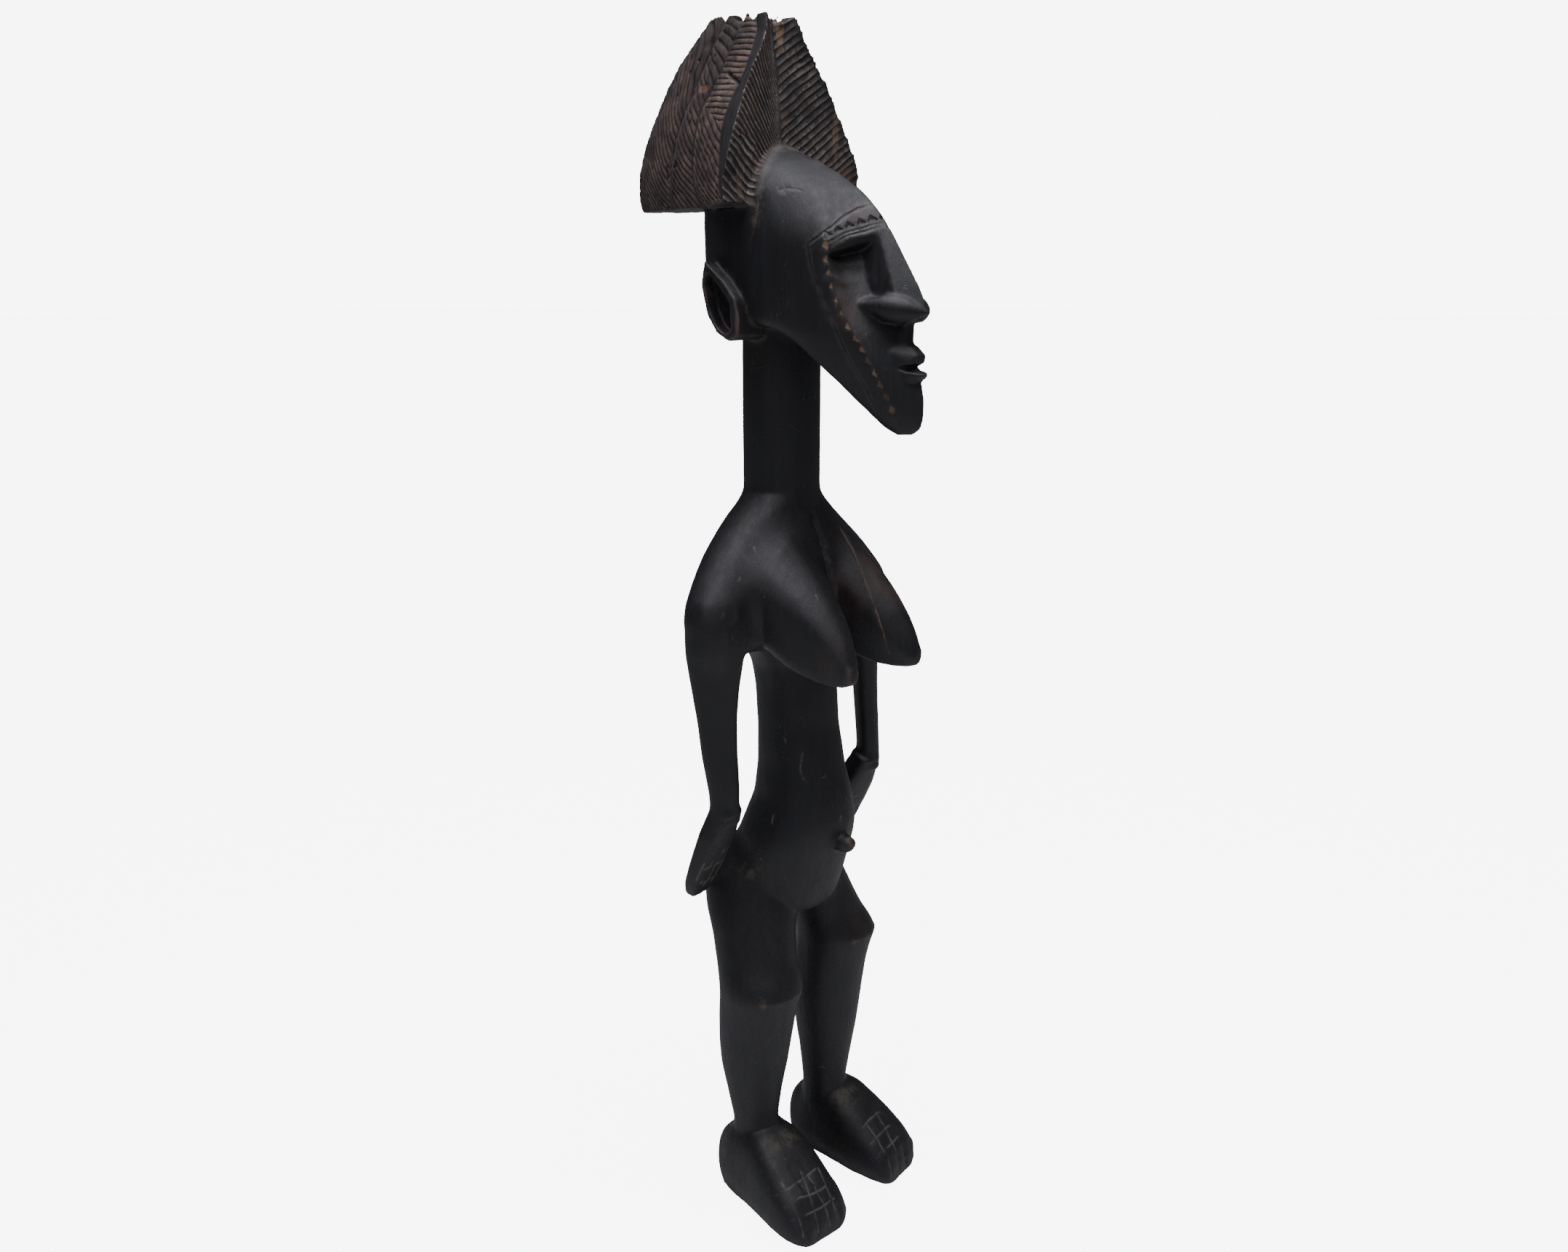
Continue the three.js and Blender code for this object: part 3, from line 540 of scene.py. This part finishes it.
depth[at] += carvedFigure["notchDepth"] * triangle * (0.4 + 0.6 * (1 - away / 5))
pale[at] = np.maximum(pale[at], triangle)

# Triangles above the brow, cut in and painted dark as shadow
at = np.where((z > 655) & (z < 692) & (y < -40) & (side < 34))[0]
away, along, _, height = fromLine(mirrored[at], shift(browLine, -0.2, 2.2, 4.2))
turn = (along / carvedFigure["browApart"] + 0.15) % 1
reach = carvedFigure["browSize"] * np.clip(1 - np.abs(2 * turn - 1) / 0.9, 0, 1)
triangle = smoothStep(-0.4, 0.4, reach - away) * smoothStep(-0.6, 0.4, z[at] - height)
depth[at] += carvedFigure["browDepth"] * triangle * (1 - away / 6)
# painted shadow: the triangles take the dark colour of the cuts
cut[at] = np.maximum(cut[at], triangle)

# Cracks and chips, each on one side only: name, line, width, depth and the rest
cracks = {
    "brow": ([(-9.7, -61.9, 684), (-11.5, -66, 675), (-9, -71, 668.5), (-9.8, -72.5, 664)],
             0.45, 0.6, {"seed": 11}),
    "forehead": ([(-33.5, -15.6, 693.8), (-30.4, -19.9, 695.5), (-28.1, -24.9, 694.9), (-25.9, -30.5, 693.6)],
                 0.5, 0.9, {"seed": 12, "edge": 0.1}),
    "templeMiddle": ([(-38.7, -6.6, 688.4), (-41.5, -6.1, 677.7), (-42.9, -3.8, 667.1), (-43.3, -2.3, 658.5)],
                     0.5, 0.9, {"bare": 0.25, "uneven": 0.5, "seed": 13}),
    "templeRear": ([(-36.8, -7.9, 692.7), (-40.2, -3.2, 683), (-42.2, -1, 672)],
                   0.5, 1.0, {"bare": 0.1, "uneven": 0.5, "seed": 17}),
    "templeFront": ([(-35.5, -11, 691), (-39.8, -9.5, 684), (-41.8, -8, 676)],
                    0.4, 0.6, {"bare": 0.1, "uneven": 0.6, "seed": 18}),
    "middleLock": ([(-25.2, 32.5, 766), (-29.8, 23.3, 761.8), (-34, 14.6, 757.3)],
                   1.3, 2.4, {"uneven": 0.1, "seed": 14}),
    "farBreast": ([(24.2, -20.4, 481.2), (22.8, -32.2, 468.1), (17.7, -47.5, 448.8), (15.7, -58.4, 431.3),
                   (16.3, -64.1, 417.4), (20.5, -66.1, 402.3)],
                  0.5, 0.5, {"dirt": 0.5, "bare": 0.7, "seed": 15}),
    "chest": ([(-1, -17.3, 490), (-1.5, -27.6, 470), (3, -34, 449), (8, -38, 429), (13, -42, 409)],
              0.7, 0.5, {"dirt": 0.5, "bare": 0.6, "seed": 16}),
}
for line, width, deep, look in cracks.values():
    incise(line, width, deep, both=False, **look)

# Small scratches on the body
scratchLines = [
    [(-20.1, -26.4, 337.2), (-22.7, -26.1, 324.1), (-21.9, -29.2, 317)],
    [(-32.6, -10.9, 295), (-34.9, -12.3, 285.6)],
    [(-48.2, -8.6, 477.3), (-49.5, -11.5, 473)],
    [(-85.6, -5.8, 447.6), (-85.2, -6.8, 444)],
    [(-84, -13.1, 411.1), (-81, -13, 405)],
    [(-81.5, -13, 441), (-80.5, -13.4, 437)],
    [(-68, -12.5, 457), (-64, -11.8, 459.5)],
    [(-3.2, -44.8, 287.3), (-1.3, -44.5, 291.9)],
]
for k, line in enumerate(scratchLines):
    incise(line, 0.4, 0.25, both=False, dirt=0.2, uneven=0.7, seed=90 + k, chalk=0.35)

# Grid of toe lines on each foot
toeLines = [
    [(-58.3, -40.5, 41.1), (-61, -52, 33), (-62, -60, 24), (-62.8, -64.8, 11)],
    [(-41.4, -43.1, 42.7), (-46.4, -55.3, 32.6), (-48.8, -62.6, 21.5), (-49, -66.8, 7.7)],
    [(-38.5, -46.3, 40.2), (-39.5, -57, 31.2), (-38.6, -64.8, 19.6), (-38, -68, 6.8)],
    [(-27.3, -47, 39.6), (-31, -58.1, 30.5), (-31.8, -65.3, 20.6), (-31, -68.7, 10.3)],
    [(-65.1, -41.3, 33.2), (-57.3, -46.2, 37.5), (-46.4, -47.4, 38.7), (-29.3, -47.4, 39.6)],
    [(-65.5, -49.5, 28.7), (-54, -54, 32.6), (-42.2, -57, 31.2), (-30.3, -57.5, 31)],
    [(-66, -56.5, 22.2), (-55.2, -61.5, 23.3), (-42, -63.4, 22.8), (-28.1, -63.6, 23.5)],
    [(34, -41.3, 42.3), (34.7, -49, 35.7), (34.7, -57.1, 27.3), (36.9, -63.7, 13.6)],
    [(49, -39.1, 43.9), (47.9, -46.8, 37.4), (46.4, -53.4, 30.7), (46.5, -60.3, 21.7)],
    [(30.7, -41.3, 40.9), (39.7, -40.9, 43), (49.5, -40.1, 42.9), (56, -40, 40)],
    [(28.3, -50, 31.5), (36.2, -50.5, 34.5), (51.7, -49.3, 34.9), (60, -48, 31)],
    [(30.1, -56.7, 25.8), (41.7, -57.1, 26.9), (56.9, -55, 27.5)],
]
for line in toeLines:
    seed = int(abs(line[0][0])) + 60
    incise(line, 0.55, fine, both=False, dirt=0.6, uneven=0.6, seed=seed, chalk=0.28)

# Backs of the hands: three cross lines and the lines of the fingers
handLines = [
    [(-62, -0.5, 276.5), (-72.1, -0.8, 274.9), (-84.6, -0.8, 274.5)],
    [(-61, 4.5, 265.5), (-72.1, 3.7, 265.7), (-81.4, 2.4, 266.3), (-85.3, 4.1, 265.3)],
    [(-63, 12.6, 252.3), (-74.5, 9.4, 253.4), (-83.3, 9.5, 253.6)],
    [(-71.5, -3.2, 279), (-73.2, 1.7, 269.2), (-74.2, 5.1, 261.9), (-75.1, 8.8, 254.5), (-78.4, 11.8, 249)],
    [(-64.5, 1.5, 272), (-66, 6, 263), (-67.6, 9.4, 255.3), (-69, 12.8, 248.8)],
    [(-79.5, 0, 272), (-80.5, 4.5, 261), (-82, 9.6, 252)],
    [(-85.9, 1.4, 271.2), (-86.1, 6.7, 261.3), (-85.6, 10.7, 254.3)],
]
for k, line in enumerate(handLines):
    incise(line, 0.5, 0.4, dirt=0.3, uneven=0.5, seed=120 + k, chalk=0.3)

# Groove round the wrist
incise([(-86, -6.3, 292), (-80.4, -14, 301.8), (-71.7, -15.5, 304.6)], 0.7, 0.5, seed=77)
print("lines cut")

# Uneven tool marks on the whole surface, softer on the hair
marks = softNoise(points * (1, 1, 0.35), 7, 31) + 0.5 * softNoise(points * (1, 1, 0.4), 3.2, 32)
depth += carvedFigure["toolMarks"] * (1 - 0.5 * hair) * marks
points -= depth[:, None] * normals
points[:, 2] = np.maximum(points[:, 2], 0)
writePoints(figure.data, points)

# Worn edges and dusty hollows: where the surface stands proud of its near surroundings, and where these
# lie below the wider ones
normals = readNormals(figure.data)
whole = np.ones(len(points))
narrow = near.relaxed(points, whole, 5)
broad = near.relaxed(narrow, whole, 50)
edged = ((points - narrow) * normals).sum(1)
hollow = ((broad - narrow) * normals).sum(1)
wear = smoothStep(0.05, 0.3, edged)
cavity = smoothStep(0.15, 1.5, hollow)


# Stains and dust: middle x, y, z and half sizes in mm, strength
warmPlaces = {
    "farBreast": ((36, -42, 446), (26, 34, 44), 0.8),
    "cheek": ((-24, -66, 628), (14, 18, 30), 0.5),
    "farFan": ((38, 4, 715), (28, 16, 34), 0.8),
    "nearFan": ((-34, 8, 710), (24, 14, 26), 0.9),
    "brow": ((-6, -62, 679), (16, 14, 10), 0.45),
    "farKnee": ((44, -30, 200), (20, 18, 26), 0.2),
    "nearBreast": ((-40, -66, 412), (12, 12, 26), 0.25),
    "chest": ((8, -40, 440), (10, 20, 36), 0.5),
}
dustPlaces = {
    "hip": ((-42, 0, 252), (9, 13, 8), 1.0),
    "nearInstep": ((-38, -23, 55), (22, 12, 9), 1.0),
    "farInstep": ((34, -22, 56), (20, 12, 9), 1.0),
    "seam": ((0, 6, 720), (22, 9, 14), 0.9),
    "nearFanFoot": ((-46, 2, 688), (14, 12, 7), 0.8),
    "farFanFoot": ((46, 2, 688), (14, 12, 7), 0.8),
    "temple": ((-41, -5, 680), (5, 6, 14), 0.7),
    "ear": ((-46, 24, 640), (5, 12, 22), 0.8),
    "betweenBreasts": ((2, -30, 468), (5, 14, 26), 0.6),
    "rearLock": ((-8, 72, 740), (20, 22, 26), 0.4),
    "fold": ((0, 10, 745), (9, 9, 30), 0.8),
    "middleLock": ((-30, 52, 745), (16, 14, 22), 0.35),
}


def stain(spots):
    total = np.zeros(len(points))
    for middle, half, strength in spots.values():
        q = np.sqrt((((points - middle) / half) ** 2).sum(1))
        total = np.maximum(total, strength * (1 - smoothStep(0.2, 1, q)))
    return total


# Four masks to an attribute, which the material reads back by name
masks = {
    "carving": np.stack([cut, pale, rubbed, hair], 1),
    "surface": np.stack([wear, cavity, band, whole], 1),      # three only
    "stains": np.stack([stain(warmPlaces), stain(dustPlaces), front, light], 1),
}
for name, values in masks.items():
    layer = figure.data.attributes.new(name, "FLOAT_COLOR", "POINT")
    layer.data.foreach_set("color", values.astype(np.float32).ravel())
faces = sum(len(p.vertices) - 2 for p in figure.data.polygons)
applyModifier(figure, "DECIMATE", ratio=carvedFigure["triangles"] / faces)
print("decimated from", faces, "to", len(figure.data.polygons), "faces")

pickOnly(figure)
bpy.ops.object.shade_smooth()

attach(figure, "root")
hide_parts("carved_figure")


# Builds nodes with short calls. Inputs go by name, or as i0, i1 and so on by number, and may be numbers,
# colours or sockets of other nodes.
class Nodes:
    def __init__(self, tree):
        self.tree = tree

    def add(self, kind, settings=None, **inputs):
        node = self.tree.nodes.new("ShaderNode" + kind)
        for name, value in (settings or {}).items():
            setattr(node, name, value)
        for name, value in inputs.items():
            key = int(name[1:]) if name[0] == "i" and name[1:].isdigit() else name.replace("_", " ")
            self.join(value, node.inputs[key])
        return node

    def join(self, value, socket):
        if isinstance(value, bpy.types.NodeSocket):
            self.tree.links.new(value, socket)
        else:
            socket.default_value = value

    def math(self, operation, a, b=0.0, clamp=False):
        return self.add("Math", {"operation": operation, "use_clamp": clamp}, i0=a, i1=b).outputs[0]

    def ramp(self, value, low, high):
        return self.add("MapRange", {"interpolation_type": "SMOOTHSTEP"}, Value=value,
                        From_Min=low, From_Max=high).outputs["Result"]

    def blend(self, factor, a, b):
        node = self.add("Mix", {"data_type": "RGBA", "clamp_factor": True})
        self.join(factor, node.inputs[0])
        self.join(a, node.inputs[6])
        self.join(b, node.inputs[7])
        return node.outputs[2]

    def noise(self, place, scale, detail, rough, stretch=(1, 1, 1), warp=0.0):
        spread = self.add("VectorMath", {"operation": "MULTIPLY"}, i0=place, i1=stretch).outputs[0]
        return self.add("TexNoise", None, Vector=spread, Scale=scale, Detail=detail, Roughness=rough,
                        Distortion=warp).outputs[0]


def nodeGroup(name, inputs, outputs):
    tree = bpy.data.node_groups.new(name, "ShaderNodeTree")
    for label, kind in inputs:
        tree.interface.new_socket(label, in_out="INPUT", socket_type=kind)
    for label, kind in outputs:
        tree.interface.new_socket(label, in_out="OUTPUT", socket_type=kind)
    source = tree.nodes.new("NodeGroupInput")
    target = tree.nodes.new("NodeGroupOutput")
    return tree, Nodes(tree), source, target


# Upright grain and fine pores of the wood, in the object's own space
grainGroup, n, source, target = nodeGroup(
    "woodGrain", [("Place", "NodeSocketVector")],
    [("Streaks", "NodeSocketFloat"), ("Pores", "NodeSocketFloat"), ("Clouds", "NodeSocketFloat")])
# scale, detail, roughness, stretch along the grain and distortion
grainNoise = {
    "streaks": (260, 4, 0.6, (1, 1, 0.06), 0.0),
    "pores": (900, 2, 0.5, (1, 1, 0.12), 0.0),
    "clouds": (22, 4, 0.6, (1, 1, 0.6), 0.6),
}
for socket, values in zip(target.inputs, grainNoise.values()):
    n.join(n.noise(source.outputs[0], *values), socket)

# Fine random scratches: a few thin lines at three slants
scratchGroup, n, source, target = nodeGroup(
    "scratches", [("Place", "NodeSocketVector")], [("Mask", "NodeSocketFloat")])
place = source.outputs[0]
found = 0.0
for angle, offset in ((0.25, 0.0), (-0.5, 3.7), (1.2, 8.1)):
    turned = n.add("VectorRotate", {"rotation_type": "AXIS_ANGLE"}, Vector=place, Axis=(0.5, 0.6, 0.2),
                   Angle=angle).outputs[0]
    moved = n.add("VectorMath", {"operation": "ADD"}, i0=turned, i1=(offset, offset, offset)).outputs[0]
    line = n.noise(moved, 190, 1, 0.4, (1, 1, 0.045), 0.3)
    thin = n.ramp(n.math("ABSOLUTE", n.math("SUBTRACT", line, 0.5)), 0.006, 0.0)
    where = n.ramp(n.noise(moved, 34, 2, 0.5), 0.62, 0.70)
    found = n.math("MAXIMUM", found, n.math("MULTIPLY", thin, where))
n.join(found, target.inputs[0])
print("shader groups built")

darkWood = {
    "dark": (0.0066, 0.0064, 0.0105, 1),
    "deep": (0.005, 0.0045, 0.005, 1),
    "warm": (0.075, 0.045, 0.041, 1),
    "hair": (0.052, 0.036, 0.033, 1),
    "hairDark": (0.014, 0.010, 0.010, 1),
    "hairWorn": (0.23, 0.155, 0.125, 1),
    "bare": (0.24, 0.15, 0.095, 1),
    "dust": (0.15, 0.125, 0.085, 1),
    "scratch": (0.5, 0.46, 0.42, 1),
    "roughness": 0.6,
    "shine": 0.5,
    # how strongly each effect shows, 0 to 1
    "warmClouds": 0.12,      # faint reddish clouds everywhere
    "warmHair": 0.6,         # warm places on the hair
    "smoothBand": 0.7,       # how far the band loses the colour of the hair
    "wornEdges": 0.4,
    # cuts darkened by dirt, and by painted shadow in the triangles above the brow
    "dirtAndShadowInCuts": 0.9,
    "dustInHollows": 0.25,
    "dustInPlaces": 0.42,
    "scratches": 0.14,
    # roughness that each adds
    "cloudsRough": 0.25,
    "streaksRough": 0.22,
    "hairRough": 0.16,
    "dustRough": 0.4,
    "bareRough": 0.25,
    "bump": 0.4,
    "bumpHeight": 0.0006,    # m
}
wood = bpy.data.materials.new("darkWood")
wood.use_nodes = True
tree = wood.node_tree
shader = tree.nodes["Principled BSDF"]
shader.inputs["Specular IOR Level"].default_value = darkWood["shine"]
n = Nodes(tree)
place = n.add("TexCoord").outputs["Object"]
layers = {name: n.add("Attribute", {"attribute_name": name}) for name in masks}
dirtAndShadowMask, paleMask, rubbedMask = n.add("SeparateColor", None, Color=layers["carving"].outputs["Color"]).outputs
hairMask = layers["carving"].outputs["Alpha"]
wearMask, cavityMask, bandMask = n.add("SeparateColor", None, Color=layers["surface"].outputs["Color"]).outputs
warmMask, dustMask, frontMask = n.add("SeparateColor", None, Color=layers["stains"].outputs["Color"]).outputs
lightMask = layers["stains"].outputs["Alpha"]
grain = n.add("Group", {"node_tree": grainGroup})
tree.links.new(place, grain.inputs[0])
streaks, pores, clouds = grain.outputs
scratches = n.add("Group", {"node_tree": scratchGroup})
tree.links.new(place, scratches.inputs[0])
scratchMask = scratches.outputs[0]
speckle = n.noise(place, 300, 3, 0.6)

# Dark wood with warmer places
colour = n.blend(n.ramp(streaks, 0.35, 0.7), darkWood["deep"], darkWood["dark"])
faint = n.math("MULTIPLY", n.ramp(clouds, 0.55, 0.8), darkWood["warmClouds"])
reddish = n.math("MAXIMUM", faint, n.math("MULTIPLY", warmMask, n.ramp(clouds, 0.3, 0.6)))
colour = n.blend(reddish, colour, darkWood["warm"])

# Browner hair, lightest on the rubbed ridges
lock = n.blend(frontMask, darkWood["hair"], darkWood["hairDark"])
lock = n.blend(n.ramp(streaks, 0.3, 0.65), darkWood["dark"], lock)
lock = n.blend(n.math("MULTIPLY", warmMask, darkWood["warmHair"]), lock, darkWood["warm"])
lock = n.blend(n.math("MULTIPLY", rubbedMask, n.ramp(clouds, 0.25, 0.7)), lock, darkWood["hairWorn"])
offBand = n.math("SUBTRACT", 1.0, n.math("MULTIPLY", bandMask, darkWood["smoothBand"]))
colour = n.blend(n.math("MULTIPLY", hairMask, offBand), colour, lock)

# Wear on edges, dirt in cuts and painted shadow in the triangles above the brow, dust, scratches and bare wood
patchy = n.math("MULTIPLY", n.ramp(clouds, 0.35, 0.65), darkWood["wornEdges"])
colour = n.blend(n.math("MULTIPLY", wearMask, patchy), colour, darkWood["hairWorn"])
# darkens the dirt in the cuts, and paints the shadow in the triangles above the brow
colour = n.blend(n.math("MULTIPLY", dirtAndShadowMask, darkWood["dirtAndShadowInCuts"]), colour, darkWood["deep"])
inHollows = n.math("MULTIPLY", cavityMask, n.ramp(n.noise(place, 120, 4, 0.65), 0.5, 0.72))
inPlaces = n.math("MULTIPLY", dustMask, n.ramp(n.noise(place, 160, 5, 0.7), 0.38, 0.62))
dusty = n.math("MAXIMUM", n.math("MULTIPLY", inHollows, darkWood["dustInHollows"]),
               n.math("MULTIPLY", inPlaces, darkWood["dustInPlaces"]))
colour = n.blend(dusty, colour, darkWood["dust"])
chalk = n.math("MAXIMUM", n.math("MULTIPLY", lightMask, n.ramp(speckle, 0.25, 0.5)),
               n.math("MULTIPLY", scratchMask, darkWood["scratches"]))
colour = n.blend(chalk, colour, darkWood["scratch"])
colour = n.blend(n.math("MULTIPLY", paleMask, n.ramp(speckle, 0.2, 0.5)), colour, darkWood["bare"])

uneven = n.math("MULTIPLY", n.math("SUBTRACT", clouds, 0.5), darkWood["cloudsRough"])
rough = n.math("ADD", darkWood["roughness"], uneven)
uneven = n.math("MULTIPLY", n.math("SUBTRACT", streaks, 0.5), darkWood["streaksRough"])
rough = n.math("ADD", rough, uneven)
rough = n.math("ADD", rough, n.math("MULTIPLY", hairMask, darkWood["hairRough"]))
rough = n.math("ADD", rough, n.math("MULTIPLY", dusty, darkWood["dustRough"]))
rough = n.math("ADD", rough, n.math("MULTIPLY", paleMask, darkWood["bareRough"]), True)
height = n.math("ADD", n.math("MULTIPLY", streaks, 0.5), n.math("MULTIPLY", pores, 0.5))
height = n.math("SUBTRACT", height, n.math("MULTIPLY", scratchMask, 0.6))
bump = n.add("Bump", None, Strength=darkWood["bump"], Distance=darkWood["bumpHeight"], Height=height)
tree.links.new(colour, shader.inputs["Base Color"])
tree.links.new(rough, shader.inputs["Roughness"])
tree.links.new(bump.outputs[0], shader.inputs["Normal"])
figure.data.materials.clear()
figure.data.materials.append(wood)
print("wood finished")

floorValues = {"size": 60, "colour": (0.86, 0.86, 0.86, 1), "roughness": 0.95}
pickOnly(figure)
bpy.ops.mesh.primitive_plane_add(size=floorValues["size"], location=(0, 0, 0))
floor = bpy.context.object
floor.name = "floor"
# Floor and surroundings look pale to the camera, and light the wood only dimly
studio = {
    "pale": (7.5, 7.55, 7.6, 1),      # what the camera sees
    "glow": 0.94,                     # floor against surroundings
    "fill": 0.06,                     # light that the surroundings give
    "fillColour": (0.93, 0.96, 1.0),
}
paint = bpy.data.materials.new("floorPaint")
paint.use_nodes = True
n = Nodes(paint.node_tree)
seen = n.add("LightPath").outputs["Is Camera Ray"]
paper = paint.node_tree.nodes["Principled BSDF"]
paper.inputs["Base Color"].default_value = floorValues["colour"]
paper.inputs["Roughness"].default_value = floorValues["roughness"]
paper.inputs["Specular IOR Level"].default_value = 0.0
paper.inputs["Emission Strength"].default_value = studio["glow"]
n.join(n.blend(seen, (0, 0, 0, 1), studio["pale"]), paper.inputs["Emission Color"])
floor.data.materials.append(paint)

world = bpy.data.worlds.new("studio")
world.use_nodes = True
n = Nodes(world.node_tree)
seen = n.add("LightPath").outputs["Is Camera Ray"]
dim = tuple(studio["fill"] * c for c in studio["fillColour"]) + (1,)
n.join(n.blend(seen, dim, studio["pale"]), world.node_tree.nodes["Background"].inputs["Color"])
bpy.context.scene.world = world


def softLight(name, place, aim, size, power, colour):
    light = bpy.data.lights.new(name, "AREA")
    light.shape = "RECTANGLE"
    light.size, light.size_y = size
    light.energy = power
    light.color = colour
    lamp = bpy.data.objects.new(name, light)
    lamp.location = place
    lamp.rotation_euler = (Vector(aim) - Vector(place)).to_track_quat("-Z", "Y").to_euler()
    bpy.context.scene.collection.objects.link(lamp)


# places and sizes in metres, power in watts
lights = {
    "topLight": {"place": (-0.2, -0.25, 2.2), "aim": (0, -0.02, 0.5), "size": (1.5, 1.1), "power": 46,
                 "colour": (0.94, 0.94, 1)},
    "sideLight": {"place": (-1.15, -0.85, 1.9), "aim": (0, -0.03, 0.45), "size": (0.8, 0.6), "power": 4,
                  "colour": (0.93, 0.94, 1)},
    "frontLight": {"place": (0.7, -1.3, 2.0), "aim": (0, 0, 0.5), "size": (0.8, 0.8), "power": 2.5,
                   "colour": (1, 0.95, 0.94)},
}
for name, values in lights.items():
    softLight(name, **values)
print("lights set")

# The photo's own view: metres, degrees, and pixels of the photo
cameraValues = {"place": (-0.71957, -0.63869, 0.640), "turn": 48.74, "down": 13.3, "focalPixels": 2000,
                "photoWidth": 2156, "sensor": 36, "nearest": 0.05}
camera = bpy.data.cameras.new("camera")
camera.lens = cameraValues["focalPixels"] / cameraValues["photoWidth"] * cameraValues["sensor"]
camera.sensor_width = cameraValues["sensor"]
camera.clip_start = cameraValues["nearest"]
cameraObject = bpy.data.objects.new("camera", camera)
turn, down = math.radians(cameraValues["turn"]), math.radians(cameraValues["down"])
look = Vector((math.sin(turn) * math.cos(down), math.cos(turn) * math.cos(down), -math.sin(down)))
cameraObject.location = cameraValues["place"]
cameraObject.rotation_euler = look.to_track_quat("-Z", "Y").to_euler()
bpy.context.scene.collection.objects.link(cameraObject)
bpy.context.scene.camera = cameraObject
print("camera set")
